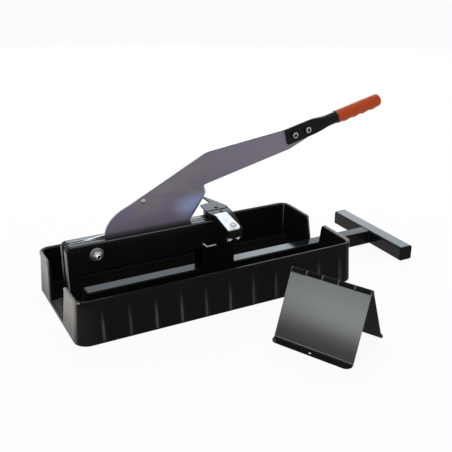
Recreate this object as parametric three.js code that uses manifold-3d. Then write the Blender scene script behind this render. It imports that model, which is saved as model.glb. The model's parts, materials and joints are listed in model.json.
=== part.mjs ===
import * as THREE from "three";
import { mergeVertices } from "three/addons/utils/BufferGeometryUtils.js";
import Module from "manifold-3d";

const wasm = await Module();
wasm.setup();

// Laminate flooring cutter in millimetres: X along the tray, Y away from the front, Z up from the ground

// Clearances that every piece shares
const seatGap = 0.3; // between faces that rest on each other
const boreGap = 0.3; // round a pin or bolt in its hole
const slideGap = 0.5; // beside a piece that slides or swings
const overrun = 20; // how far a cutting body runs past what it cuts

// Numbers of steps round a circle and along an arc
const roundSteps = 24;
const smallSteps = 16;
const arcSteps = 6;
const bendSteps = 3;
const gripSteps = 32;
const swageSteps = 6;

// Middle line of the slots, the stabiliser and the blade, a little behind the tray's own middle
const lane = 3;

// Tray: a moulded basin whose outer walls flare toward the ground
const trayRimLength = 600;
const trayRimWidth = 273;
const trayHeight = 88;
const trayFlare = 5.5;
const trayCorner = 22;
const trayRimWall = 5;
const trayWallDraft = 4.5;
const trayFloor = 6;
const trayBeadProud = 1.8;
const trayBeadHeight = 7;
const fluteCount = 11;
const flutePitch = 52;
const fluteInset = 46;
const fluteHalfWidth = 9;
const fluteDepth = 3;
const fluteTop = 66;

// End slots of the tray: half widths at the rim, at the neck below its round shoulder, and at the floor
const leftMouthHalf = 73;
const leftNeckHalf = 58;
const leftFootHalf = 49.5;
const leftSill = -1;
const rightMouthHalf = 43.5;
const rightNeckHalf = 28;
const rightFootHalf = 20;
const rightSill = -1;
const slotShoulder = 20;
const slotFootRound = 6;
const slotMouthRise = 2;

// Stabiliser: a square tube along the tray floor with a crossbar at its right end
const tubeSide = 32;
const tubeWall = 2;
const tubeInset = 58;
const tubeLength = 687;
const crossbarLength = 247;
const capFace = 3;
const capPlug = 12;

// Shear beam: two formed cheeks on legs that stand astride the stabiliser
const beamInset = 19;
const beamLength = 359;
const beamTop = 144.5;
const beamCorner = 12;
const beamBend = 3.5;
const cheekPlate = 4;
const leftLegWidth = 24.5;
const rightLegWidth = 74;
const beamDepth = 59;
const endFlangeHeight = 84.5;
const footReach = 21;
const footPlate = 4;

// Shear bars either side of the blade, standing just above the cheeks
const bladePlate = 4;
const barPlate = 4.2;
const barHeight = 43;
const barProud = 1;
const barLeftInset = 3;
const barRightInset = 57;
const endSpacerWidth = 15;
const endSpacerDrop = 5;
const endSpacerHeight = 32;
const noseSpacerWidth = 17;
const noseSpacerInset = 2;
const noseSpacerHeight = 46;
const noseSpacerRise = 6;

// Blade pivot
const pivotInset = 59.5;
const pivotDrop = 24;
const pivotBolt = 10;
const pivotBushOuter = 16;
const pivotSleeveOuter = 20;
const pivotWasher = 28;
const pivotWasherPlate = 2.2;
const pivotNutAcross = 17;
const pivotNutHeight = 9;
const pivotNutCrown = 13;
const pivotHeadHeight = 6.5;
const pivotThreadProud = 4;
const pivotThreadHollow = 5;
const pivotHollowDepth = 3;

// Blade, as distances from the pivot along X and Z at the photographed angle
const bladeHeelRadius = 31;
const bladeBackFoot = [25, 29];
const bladeBackPull = [30, 62.5];
const bladeBackHead = [77.8, 81];
const bladeShoulder = [246.4, 166];
const bladeTailTop = [487, 197];
const bladeTailFoot = [490, 166.6];
const bladeArmFoot = [442.6, 145.9];
const bladeNotch = [238.8, 97.5];
const bladeTip = [246, 83.4];
const bladeNose = [238.4, 67.7];
const bladeEdgeKnee = [201, 15.5];
const bladeEdgeFront = [187, 3];
const bladeEdgeHeel = [29, -25];
const bladeShoulderRound = 7;
const bladeNotchRound = 6;
const bladeTipRound = 7;
const bladeTailRound = 6;
const bladeBevelWidth = 6;
const bladeLand = 1;
const studX = 107.1;
const studZ = 85;
const studBolt = 5;
const studHead = 10.5;
const studHeadHeight = 2.6;
const studNutAcross = 8;
const studNutHeight = 4;

// Handle: a round tube flattened where it is bolted to the front of the blade
const handleStartX = 433.4;
const handleStartZ = 173.4;
const handleAngle = THREE.MathUtils.degToRad(13.6);
const handleLength = 240;
const handleTube = 25.4;
const handleTubeWall = 2;
const handleFlatWidth = 35.2;
const handleFlatPlate = 5;
const handleFlatLength = 60;
const handleSwage = 46;
const handleBoltPlaces = [16.5, 49.5];
const handleBolt = 8;
const handleHeadAcross = 13;
const handleHeadHeight = 5.3;
const handleNutHeight = 6.5;
const handleWasher = 16;
const handleWasherPlate = 1.6;
const gripStart = 125.5;
const gripLength = 118;
const gripOuter = 28.4;
const gripEndWall = 3;
const gripRidges = 4;
const gripRidgeHeight = 2.2;
const gripNoseRound = 9;
const gripLip = 1.2;

// Fence arms on top of the beam's right end, one either side of the blade
const armRise = 13.5;
const armPlate = 4;
const armGap = 5.2;
const armBarGap = 3;
const armWidth = 52;
const armFlatReach = 33;
const armReach = 81;
const armDrop = 18;
const armLip = 15;
const armKinkLeftInset = 3;
const armKinkRightInset = 5;
const armEndLeftInset = 9;
const armEndRightInset = 8;
const armCorner = 5;
const gussetPlate = 4;
const gussetInset = 17;
const gussetDepth = 20;
const lugPlate = 4;
const lugInset = 22;
const lugReach = 11;
const lugHeight = 46;
const rearFlatInset = 5.2;
const rearFlatReach = 41;
const rearFlatEndReach = 46;
const rearTailInset = 31;
const rearTailReach = 89;
const rearTailTip = 3;
const rearShoulderProud = 3;
const rearShoulderReach = 11.5;
const armScrewInset = 28;
const armScrewOffset = 12;
const armScrew = 5;
const armScrewHead = 9.5;
const armScrewHeadHeight = 3;
const armScrewDepth = 20;
const armScrewSocket = 4;

// Plated wear plate on the front arm's slope, and its screw
const wearPlate = 2;
const wearStartReach = 27;
const wearEndGap = 2;
const wearStartInset = 4;
const wearStartWidth = 27;
const wearEndInset = 9.5;
const wearEndWidth = 29.5;
const wearRound = 8;
const wearScrewOffset = 28;
const wearScrewInset = 15;
const wearScrew = 5;
const wearScrewHead = 10;
const wearScrewHeadHeight = 2.4;
const wearScrewRim = 14;
const wearScrewRimHeight = 1.2;
const wearScrewLength = 14;

// Clamp bolt that hangs below the front arm's lip
const clampInset = 9;
const clampDrop = 39;
const clampBolt = 5;
const clampHeadInset = 12;
const clampHeadHeight = 5;
const clampLength = 28;
const clampHeadAcross = 10;
const clampNutInset = 31;
const clampNutHeight = 4.6;

// Small angle clip on the front of the right leg
const clipInset = 1;
const clipWidth = 22;
const clipReach = 18;
const clipRise = 12.5;
const clipHeight = 14;
const clipPlate = 1.8;
const rivetHead = 6;
const rivetHeadHeight = 1.6;
const rivetShank = 3;
const rivetDrop = 7.5;

// Screws that hold the legs' feet to the tray floor
const footScrew = 5;
const footScrewHead = 9;
const footScrewHeadHeight = 3;
const footScrewBite = 4.6;
const footScrewSocket = 3;

// Stand: two leaves on a hinge pin, flanged outward at the ground
const standX = 117;
const standY = -315.4;
const standYaw = THREE.MathUtils.degToRad(-63.8);
const standWidth = 162;
const standHeight = 124;
const standSpread = 53.5;
const standPlate = 2;
const standFlange = 14;
const standFlangeRound = 12;
const standHole = 6;
const knuckleOuter = 9;
const knuckleCount = 5;
const hingePin = 4.4;
const pinHead = 7.5;
const pinHeadHeight = 1.6;

// Sizes that follow from the ones above
const trayHalfLength = trayRimLength / 2;
const trayHalfWidth = trayRimWidth / 2;
const fluteFirstX = fluteInset - trayHalfLength;
const tubeBottom = trayFloor + seatGap;
const tubeHalf = tubeSide / 2;
const tubeMiddleZ = tubeBottom + tubeHalf;
const tubeLeftX = tubeInset - trayHalfLength;
const tubeRightX = tubeLeftX + tubeLength;
const cheekInner = tubeHalf + slideGap;
const cheekOuter = cheekInner + cheekPlate;
const beamLeftX = beamInset - trayHalfLength;
const beamRightX = beamLeftX + beamLength;
const archLeftX = beamLeftX + leftLegWidth;
const archRightX = beamRightX - rightLegWidth;
const archTop = beamTop - beamDepth;
const endFlangeBottom = beamTop - endFlangeHeight;
const legFoot = trayFloor + seatGap;
const bladeHalf = bladePlate / 2;
const barInner = bladeHalf + slideGap;
const barOuter = barInner + barPlate;
const barRightX = beamRightX - barRightInset;
const barTop = beamTop + barProud;
const barBottom = barTop - barHeight;
const flangeInner = barOuter + seatGap;
const pivotX = beamLeftX + pivotInset;
const pivotZ = beamTop - pivotDrop;
const handleOffset = bladeHalf + seatGap + handleFlatPlate / 2;
const slopeAngle = Math.atan2(armDrop, armReach - armFlatReach);
const armTop = beamTop + armRise;
const armLeftX = barRightX + armBarGap;
const armRightX = armLeftX + armWidth;
const armScrewX = armLeftX + armScrewInset;
const clipX = archRightX + clipInset;
const clipTop = archTop + clipRise;

// Solid of a closed geometry
function solid(geometry) {
  const bare = geometry.clone();
  bare.deleteAttribute("normal");
  bare.deleteAttribute("uv");
  const merged = mergeVertices(bare);
  return new wasm.Manifold(
    new wasm.Mesh({
      numProp: 3,
      vertProperties: merged.attributes.position.array,
      triVerts: new Uint32Array(merged.index.array),
    }),
  );
}

// Flat-shaded geometry of a solid
function geometryOf(body) {
  const data = body.getMesh();
  const geometry = new THREE.BufferGeometry();
  geometry.setAttribute("position", new THREE.BufferAttribute(data.vertProperties, 3));
  geometry.setIndex(new THREE.BufferAttribute(data.triVerts, 1));
  const flat = geometry.toNonIndexed();
  flat.computeVertexNormals();
  return flat;
}

const finishes = {
  black_plastic: { color: 0x1b1b1c, roughness: 0.45, metalness: 0 },
  black_paint: { color: 0x141415, roughness: 0.35, metalness: 0.2 },
  cap_plastic: { color: 0x111112, roughness: 0.55, metalness: 0 },
  blade_steel: { color: 0xa9a5ad, roughness: 0.38, metalness: 0.9 },
  bar_steel: { color: 0xb4b4b2, roughness: 0.3, metalness: 0.9 },
  zinc: { color: 0xd2d4d6, roughness: 0.3, metalness: 0.8 },
  dark_steel: { color: 0x2b2b2d, roughness: 0.4, metalness: 0.7 },
  orange_grip: { color: 0xc8561f, roughness: 0.6, metalness: 0 },
};

const part = new THREE.Group();
part.name = "laminate_cutter";

function add(name, body, finish) {
  const material = new THREE.MeshStandardMaterial(finishes[finish]);
  material.name = finish;
  const mesh = new THREE.Mesh(geometryOf(body), material);
  mesh.name = name;
  part.add(mesh);
}

function shapeOf(points) {
  return new THREE.Shape(points.map(([x, y]) => new THREE.Vector2(x, y)));
}

function extruded(shape, depth, options = {}) {
  return new THREE.ExtrudeGeometry(shape, {
    depth,
    bevelEnabled: false,
    curveSegments: arcSteps,
    ...options,
  });
}

// Prisms of an outline drawn in XZ, YZ or XY, between two stations on the third axis
function prismXZ(shape, yFrom, yTo) {
  const geometry = extruded(shape, yTo - yFrom);
  geometry.rotateX(Math.PI / 2);
  geometry.translate(0, yTo, 0);
  return solid(geometry);
}

function prismYZ(shape, xFrom, xTo) {
  const geometry = extruded(shape, xTo - xFrom);
  geometry.rotateX(Math.PI / 2);
  geometry.rotateZ(Math.PI / 2);
  geometry.translate(xFrom, 0, 0);
  return solid(geometry);
}

function prismXY(shape, zFrom, zTo) {
  const geometry = extruded(shape, zTo - zFrom);
  geometry.translate(0, 0, zFrom);
  return solid(geometry);
}

function block(xFrom, xTo, yFrom, yTo, zFrom, zTo) {
  const geometry = new THREE.BoxGeometry(xTo - xFrom, yTo - yFrom, zTo - zFrom);
  geometry.translate((xFrom + xTo) / 2, (yFrom + yTo) / 2, (zFrom + zTo) / 2);
  return solid(geometry);
}

// Round or many-sided rod between two points
function rod(diameter, from, to, steps = roundSteps, turn = 0) {
  const start = new THREE.Vector3(...from);
  const run = new THREE.Vector3(...to).sub(start);
  const geometry = new THREE.CylinderGeometry(diameter / 2, diameter / 2, run.length(), steps);
  geometry.rotateY(turn);
  const toRun = new THREE.Quaternion();
  toRun.setFromUnitVectors(new THREE.Vector3(0, 1, 0), run.clone().normalize());
  geometry.applyQuaternion(toRun);
  const middle = start.addScaledVector(run, 1 / 2);
  geometry.translate(middle.x, middle.y, middle.z);
  return solid(geometry);
}

const hexSides = 6;

function hexRod(across, from, to) {
  return rod(across / Math.cos(Math.PI / hexSides), from, to, hexSides, Math.PI / hexSides);
}

function joined(bodies) {
  return bodies.reduce((sum, body) => sum.add(body));
}

function cutBy(body, cutters) {
  return cutters.reduce((rest, cutter) => rest.subtract(cutter), body);
}

// Closed skin through rings of equal point counts, its ends filled along a flat outline
function loft(rings, endOutline) {
  const count = rings[0].length;
  const corners = rings.flat().map((p) => new THREE.Vector3(...p));
  const faces = [];
  for (let ring = 0; ring + 1 < rings.length; ring += 1) {
    for (let i = 0; i < count; i += 1) {
      const a = ring * count + i;
      const b = ring * count + ((i + 1) % count);
      faces.push(a, b, b + count, a, b + count, a + count);
    }
  }
  const flat = endOutline.map(([x, y]) => new THREE.Vector2(x, y));
  const last = (rings.length - 1) * count;
  const clockwise = THREE.ShapeUtils.isClockWise(flat);
  for (const triangle of THREE.ShapeUtils.triangulateShape(flat, [])) {
    const [a, b, c] = clockwise ? [...triangle].reverse() : triangle;
    faces.push(c, b, a);
    faces.push(last + a, last + b, last + c);
  }
  const geometry = new THREE.BufferGeometry().setFromPoints(corners);
  geometry.setIndex(facingOut(corners, faces));
  return geometry;
}

// Closed skin through level rings about the Z axis, its ends filled from their middles
function levelLoft(rings) {
  const count = rings[0].length;
  const corners = rings.flat().map((p) => new THREE.Vector3(...p));
  const lowest = corners.length;
  corners.push(new THREE.Vector3(0, 0, rings[0][0][2]));
  corners.push(new THREE.Vector3(0, 0, rings[rings.length - 1][0][2]));
  const faces = [];
  for (let i = 0; i < count; i += 1) {
    const next = (i + 1) % count;
    for (let ring = 0; ring + 1 < rings.length; ring += 1) {
      const a = ring * count + i;
      const b = ring * count + next;
      faces.push(a, b, b + count, a, b + count, a + count);
    }
    const last = (rings.length - 1) * count;
    faces.push(lowest, next, i);
    faces.push(lowest + 1, last + i, last + next);
  }
  const geometry = new THREE.BufferGeometry().setFromPoints(corners);
  geometry.setIndex(facingOut(corners, faces));
  return geometry;
}

// Triangles in the order that turns their faces outward
function facingOut(corners, faces) {
  let volume = 0;
  for (let i = 0; i < faces.length; i += 3) {
    const [a, b, c] = faces.slice(i, i + 3).map((index) => corners[index]);
    volume += a.dot(new THREE.Vector3().crossVectors(b, c));
  }
  return volume < 0 ? [...faces].reverse() : faces;
}

// Rounded rectangle about the origin, going counter-clockwise, with extra points along its long sides
function rimOutline(halfX, halfY, radius, sideStops = [], sideBulge = () => 0) {
  const points = [];
  const cornerSigns = [[-1, -1], [1, -1], [1, 1], [-1, 1]];
  cornerSigns.forEach(([signX, signY], corner) => {
    const startAngle = Math.PI + (corner * Math.PI) / 2;
    for (let step = 0; step <= arcSteps; step += 1) {
      const angle = startAngle + (step / arcSteps) * (Math.PI / 2);
      points.push([
        signX * (halfX - radius) + radius * Math.cos(angle),
        signY * (halfY - radius) + radius * Math.sin(angle),
      ]);
    }
    if (corner === 0) {
      sideStops.forEach((x) => points.push([x, -halfY - sideBulge(x)]));
    }
    if (corner === 2) {
      [...sideStops].reverse().forEach((x) => points.push([x, halfY + sideBulge(x)]));
    }
  });
  return points;
}

// Tray
const fluteStops = [];
for (let flute = 0; flute < fluteCount; flute += 1) {
  const middle = fluteFirstX + flute * flutePitch;
  [-1, -1 / 2, 0, 1 / 2, 1].forEach((share) => {
    fluteStops.push(middle + share * fluteHalfWidth);
  });
}

function fluteBulge(x, z) {
  const flute = Math.round((x - fluteFirstX) / flutePitch);
  const away = Math.abs(x - fluteFirstX - flute * flutePitch) / fluteHalfWidth;
  const rise = Math.max(0, 1 - z / fluteTop);
  return away < 1 ? fluteDepth * Math.sqrt(rise) * Math.cos((away * Math.PI) / 2) ** 2 : 0;
}

function trayOutside() {
  const beadFoot = trayHeight - trayBeadHeight;
  const beadStepShare = 0.2;
  const heightShares = [0, 0.25, 0.5, 0.75];
  const levels = heightShares.map((share) => [share * trayHeight, 0]);
  levels.push([beadFoot, 0]);
  levels.push([beadFoot + beadStepShare * trayBeadHeight, trayBeadProud]);
  levels.push([trayHeight - beadStepShare * trayBeadHeight, trayBeadProud]);
  levels.push([trayHeight, 0]);
  const rings = levels.map(([z, proud]) => {
    const out = trayFlare * (1 - z / trayHeight) + proud;
    const outline = rimOutline(
      trayHalfLength + out,
      trayHalfWidth + out,
      trayCorner + out,
      fluteStops,
      (x) => fluteBulge(x, z),
    );
    return outline.map(([x, y]) => [x, y, z]);
  });
  return solid(levelLoft(rings));
}

function trayInside() {
  const innerAt = (z) => {
    const inward = trayRimWall + trayWallDraft * (1 - z / trayHeight);
    const outline = rimOutline(trayHalfLength - inward, trayHalfWidth - inward, trayCorner - trayRimWall);
    return outline.map(([x, y]) => [x, y, z]);
  };
  return solid(levelLoft([innerAt(trayFloor), innerAt(trayHeight + overrun)]));
}

function slotShape(mouthHalf, neckHalf, footHalf, sill) {
  const foot = trayFloor + sill;
  const neck = trayHeight - slotShoulder;
  const shape = new THREE.Shape();
  const mouth = trayHeight + slotMouthRise;
  shape.moveTo(lane - mouthHalf, mouth + overrun);
  shape.lineTo(lane - mouthHalf, mouth);
  shape.quadraticCurveTo(lane - neckHalf, mouth, lane - neckHalf, neck);
  shape.lineTo(lane - footHalf, foot + slotFootRound);
  shape.quadraticCurveTo(lane - footHalf, foot, lane - footHalf + slotFootRound, foot);
  shape.lineTo(lane + footHalf - slotFootRound, foot);
  shape.quadraticCurveTo(lane + footHalf, foot, lane + footHalf, foot + slotFootRound);
  shape.lineTo(lane + neckHalf, neck);
  shape.quadraticCurveTo(lane + neckHalf, mouth, lane + mouthHalf, mouth);
  shape.lineTo(lane + mouthHalf, mouth + overrun);
  return shape;
}

const footScrewPlaces = [archLeftX - leftLegWidth / 2, archRightX + rightLegWidth / 2];
const footScrewOffset = cheekOuter + footReach / 2;

function footScrewBores(diameter, zFrom, zTo) {
  return footScrewPlaces.flatMap((x) =>
    [-1, 1].map((side) => {
      const y = lane + side * footScrewOffset;
      return rod(diameter, [x, y, zFrom], [x, y, zTo], smallSteps);
    }),
  );
}

function tray() {
  const wallIn = trayHalfLength - trayRimWall - trayWallDraft - slideGap;
  const outEnd = trayHalfLength + trayFlare + overrun;
  const leftShape = slotShape(leftMouthHalf, leftNeckHalf, leftFootHalf, leftSill);
  const rightShape = slotShape(rightMouthHalf, rightNeckHalf, rightFootHalf, rightSill);
  return cutBy(trayOutside(), [
    trayInside(),
    prismYZ(leftShape, -outEnd, -wallIn),
    prismYZ(rightShape, wallIn, outEnd),
    ...footScrewBores(footScrew + boreGap, legFoot - footPlate - seatGap - footScrewBite, trayHeight),
  ]);
}

add("tray", tray(), "black_plastic");

// Stabiliser tube, crossbar and their end caps
function squareTubeX(xFrom, xTo) {
  const outside = block(xFrom, xTo, lane - tubeHalf, lane + tubeHalf, tubeBottom, tubeBottom + tubeSide);
  const inner = tubeHalf - tubeWall;
  const bore = block(
    xFrom - overrun,
    xTo + overrun,
    lane - inner,
    lane + inner,
    tubeBottom + tubeWall,
    tubeBottom + tubeSide - tubeWall,
  );
  return outside.subtract(bore);
}

const crossbarLeftX = tubeRightX + seatGap;
const crossbarRightX = crossbarLeftX + tubeSide;
const crossbarFrontY = lane - crossbarLength / 2;
const crossbarRearY = lane + crossbarLength / 2;

function crossbar() {
  const outside = block(
    crossbarLeftX,
    crossbarRightX,
    crossbarFrontY,
    crossbarRearY,
    tubeBottom,
    tubeBottom + tubeSide,
  );
  const bore = block(
    crossbarLeftX + tubeWall,
    crossbarRightX - tubeWall,
    crossbarFrontY - overrun,
    crossbarRearY + overrun,
    tubeBottom + tubeWall,
    tubeBottom + tubeSide - tubeWall,
  );
  return outside.subtract(bore);
}

const plugHalf = tubeHalf - tubeWall - seatGap;
const plugBottom = tubeMiddleZ - plugHalf;
const plugTop = tubeMiddleZ + plugHalf;
const tubeTop = tubeBottom + tubeSide;

function tubeCap() {
  const faceX = tubeLeftX - seatGap;
  return joined([
    block(faceX - capFace, faceX, lane - tubeHalf, lane + tubeHalf, tubeBottom, tubeTop),
    block(faceX, tubeLeftX + capPlug, lane - plugHalf, lane + plugHalf, plugBottom, plugTop),
  ]);
}

function crossbarCap(side) {
  const middleX = (crossbarLeftX + crossbarRightX) / 2;
  const end = side < 0 ? crossbarFrontY : crossbarRearY;
  const seat = end + side * seatGap;
  const face = seat + side * capFace;
  const plug = end - side * capPlug;
  const [faceFrom, faceTo] = [seat, face].sort((a, b) => a - b);
  const [plugFrom, plugTo] = [seat, plug].sort((a, b) => a - b);
  return joined([
    block(crossbarLeftX, crossbarRightX, faceFrom, faceTo, tubeBottom, tubeTop),
    block(middleX - plugHalf, middleX + plugHalf, plugFrom, plugTo, plugBottom, plugTop),
  ]);
}

add("stabiliser_tube", squareTubeX(tubeLeftX, tubeRightX), "black_paint");
add("stabiliser_crossbar", crossbar(), "black_paint");
add("tube_cap", tubeCap(), "cap_plastic");
add("crossbar_front_cap", crossbarCap(-1), "cap_plastic");
add("crossbar_rear_cap", crossbarCap(1), "cap_plastic");

// Cheeks, drawn on the rear side of the lane and mirrored for the front
function mirrored(body, side) {
  const offset = body.translate([0, side < 0 ? -lane : lane, 0]);
  return side < 0 ? offset.mirror([0, 1, 0]) : offset;
}

function roundedLeftTop(left, right, bottom, top, radius) {
  const shape = new THREE.Shape();
  shape.moveTo(left, bottom);
  shape.lineTo(right, bottom);
  shape.lineTo(right, top);
  shape.lineTo(left + radius, top);
  shape.absarc(left + radius, top - radius, radius, Math.PI / 2, Math.PI, false);
  return shape;
}

function archCut() {
  return block(archLeftX, archRightX, -overrun, cheekOuter + footReach + overrun, 0, archTop);
}

function cheekFoot(xFrom, xTo) {
  return block(xFrom, xTo, cheekInner, cheekOuter + footReach, legFoot, legFoot + footPlate);
}

function rolledEdgeBody() {
  const bend = beamBend;
  const shape = roundedLeftTop(
    beamLeftX + bend,
    beamRightX + overrun,
    -overrun,
    beamTop - bend,
    beamCorner - bend,
  );
  const geometry = extruded(shape, cheekOuter - flangeInner - bend + overrun, {
    bevelEnabled: true,
    bevelThickness: bend,
    bevelSize: bend,
    bevelSegments: bendSteps,
  });
  geometry.rotateX(Math.PI / 2);
  geometry.translate(0, cheekOuter - bend, 0);
  return solid(geometry);
}

function cheek(side) {
  const outline = roundedLeftTop(beamLeftX, beamRightX, legFoot, beamTop, beamCorner);
  const plain = prismXZ(outline, flangeInner, cheekOuter);
  const pocket = prismXZ(
    roundedLeftTop(
      beamLeftX + cheekPlate,
      beamRightX + overrun,
      -overrun,
      beamTop - cheekPlate,
      beamCorner - cheekPlate,
    ),
    -overrun,
    cheekInner,
  );
  const tubeDoor = block(
    beamLeftX - overrun,
    archLeftX,
    -overrun,
    cheekInner,
    0,
    endFlangeBottom,
  );
  const body = plain.intersect(rolledEdgeBody()).subtract(pocket).subtract(tubeDoor).subtract(archCut());
  const whole = joined([body, cheekFoot(beamLeftX, archLeftX), cheekFoot(archRightX, beamRightX)]);
  const pivotBore = rod(
    pivotBolt + boreGap,
    [pivotX, -overrun, pivotZ],
    [pivotX, cheekOuter + overrun, pivotZ],
  );
  const screwBore = rod(
    armScrew + boreGap,
    [armScrewX, armScrewOffset, beamTop - armScrewDepth],
    [armScrewX, armScrewOffset, beamTop + overrun],
    smallSteps,
  );
  const rivetBore = rod(
    rivetShank + boreGap,
    [clipX + clipWidth / 2, 0, clipTop - rivetDrop],
    [clipX + clipWidth / 2, cheekOuter + overrun, clipTop - rivetDrop],
    smallSteps,
  );
  const footBores = footScrewPlaces.map((x) =>
    rod(
      footScrew + boreGap,
      [x, footScrewOffset, 0],
      [x, footScrewOffset, legFoot + footPlate + overrun],
      smallSteps,
    ),
  );
  const cutters = [pivotBore, screwBore, ...footBores];
  if (side < 0) {
    cutters.push(rivetBore);
  }
  return mirrored(cutBy(whole, cutters), side);
}

function shearBar(side) {
  const bar = prismXZ(
    roundedLeftTop(beamLeftX + barLeftInset, barRightX, barBottom, barTop, beamCorner),
    barInner,
    barOuter,
  );
  const bore = rod(
    pivotBolt + boreGap,
    [pivotX, -overrun, pivotZ],
    [pivotX, barOuter + overrun, pivotZ],
  );
  return mirrored(bar.subtract(bore), side);
}

add("front_cheek", cheek(-1), "black_paint");
add("rear_cheek", cheek(1), "black_paint");
add("front_shear_bar", shearBar(-1), "bar_steel");
add("rear_shear_bar", shearBar(1), "bar_steel");

function spacerBlock(xFrom, xTo, halfWidth, zFrom, zTo) {
  return block(xFrom, xTo, lane - halfWidth, lane + halfWidth, zFrom, zTo);
}

const endSpacerLeftX = beamLeftX + barLeftInset;
const endSpacerTop = barTop - endSpacerDrop;
const noseSpacerRightX = beamRightX - noseSpacerInset;
const noseSpacerBottom = tubeTop + noseSpacerRise;

add(
  "end_spacer",
  spacerBlock(
    endSpacerLeftX,
    endSpacerLeftX + endSpacerWidth,
    barInner - seatGap,
    endSpacerTop - endSpacerHeight,
    endSpacerTop,
  ),
  "black_paint",
);
add(
  "nose_spacer",
  spacerBlock(
    noseSpacerRightX - noseSpacerWidth,
    noseSpacerRightX,
    cheekInner - seatGap,
    noseSpacerBottom,
    noseSpacerBottom + noseSpacerHeight,
  ),
  "black_paint",
);

// Screws that hold the feet down
function socketScrew(x, y, headBottom, head, headHeight, shank, depth, socket) {
  const top = headBottom + headHeight;
  const body = joined([
    rod(head, [x, y, headBottom], [x, y, top], smallSteps),
    rod(shank, [x, y, headBottom - depth], [x, y, headBottom + seatGap], smallSteps),
  ]);
  return body.subtract(hexRod(socket, [x, y, top - headHeight / 2], [x, y, top + overrun]));
}

const sideNames = { "-1": "front", 1: "rear" };
const legNames = ["left", "right"];

footScrewPlaces.forEach((x, leg) => {
  [-1, 1].forEach((side) => {
    const headBottom = legFoot + footPlate + seatGap;
    add(
      "foot_screw_" + sideNames[side] + "_" + legNames[leg],
      socketScrew(
        x,
        lane + side * footScrewOffset,
        headBottom,
        footScrewHead,
        footScrewHeadHeight,
        footScrew,
        headBottom - legFoot + footScrewBite,
        footScrewSocket,
      ),
      "dark_steel",
    );
  });
});

// Blade pivot: bolt, bush in the blade, sleeves beside the bars, washers and nut
function ring(outer, inner, yFrom, yTo) {
  const outside = rod(outer, [pivotX, yFrom, pivotZ], [pivotX, yTo, pivotZ]);
  const bore = rod(inner, [pivotX, yFrom - overrun, pivotZ], [pivotX, yTo + overrun, pivotZ]);
  return outside.subtract(bore);
}

const pivotInner = pivotBolt + boreGap;
const frontSeatY = lane - cheekOuter - seatGap;
const rearSeatY = lane + cheekOuter + seatGap;
const frontNutY = frontSeatY - pivotWasherPlate - seatGap;
const rearHeadY = rearSeatY + pivotWasherPlate + seatGap;
const threadEndY = frontNutY - pivotNutHeight - pivotThreadProud;

function pivotBoltBody() {
  const shank = rod(pivotBolt, [pivotX, threadEndY, pivotZ], [pivotX, rearHeadY + seatGap, pivotZ]);
  const head = hexRod(
    pivotNutAcross,
    [pivotX, rearHeadY, pivotZ],
    [pivotX, rearHeadY + pivotHeadHeight, pivotZ],
  );
  const hollow = rod(
    pivotThreadHollow,
    [pivotX, threadEndY - overrun, pivotZ],
    [pivotX, threadEndY + pivotHollowDepth, pivotZ],
    smallSteps,
  );
  return joined([shank, head]).subtract(hollow);
}

function pivotNut() {
  const flangeShare = 0.75;
  const flangeY = frontNutY - pivotNutHeight * flangeShare;
  const body = joined([
    hexRod(pivotNutAcross, [pivotX, flangeY, pivotZ], [pivotX, frontNutY, pivotZ]),
    rod(pivotNutCrown, [pivotX, frontNutY - pivotNutHeight, pivotZ], [pivotX, flangeY + seatGap, pivotZ]),
  ]);
  const bore = rod(
    pivotInner,
    [pivotX, threadEndY - overrun, pivotZ],
    [pivotX, frontNutY + overrun, pivotZ],
  );
  return body.subtract(bore);
}

const sleeveFrom = barOuter + seatGap;
const sleeveTo = cheekInner - seatGap;
const bushHalf = barInner - seatGap;

add("pivot_bolt", pivotBoltBody(), "zinc");
add("pivot_nut", pivotNut(), "zinc");
add("pivot_washer_front", ring(pivotWasher, pivotInner, frontSeatY - pivotWasherPlate, frontSeatY), "zinc");
add("pivot_washer_rear", ring(pivotWasher, pivotInner, rearSeatY, rearSeatY + pivotWasherPlate), "zinc");
add("pivot_bush", ring(pivotBushOuter, pivotInner, lane - bushHalf, lane + bushHalf), "bar_steel");
add("pivot_sleeve_front", ring(pivotSleeveOuter, pivotInner, lane - sleeveTo, lane - sleeveFrom), "dark_steel");
add("pivot_sleeve_rear", ring(pivotSleeveOuter, pivotInner, lane + sleeveFrom, lane + sleeveTo), "dark_steel");

// Blade outline from the heel over the back to the tail, then along the arm and the cutting edge
function curvePoints(curve, steps) {
  return curve.getPoints(steps).map((p) => [p.x, p.y]);
}

function bend(from, corner, to, radius) {
  const middle = new THREE.Vector2(...corner);
  const back = new THREE.Vector2(...from).sub(middle).setLength(radius);
  const ahead = new THREE.Vector2(...to).sub(middle).setLength(radius);
  const curve = new THREE.QuadraticBezierCurve(
    back.add(middle),
    middle,
    ahead.add(middle),
  );
  return curvePoints(curve, arcSteps);
}

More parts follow.
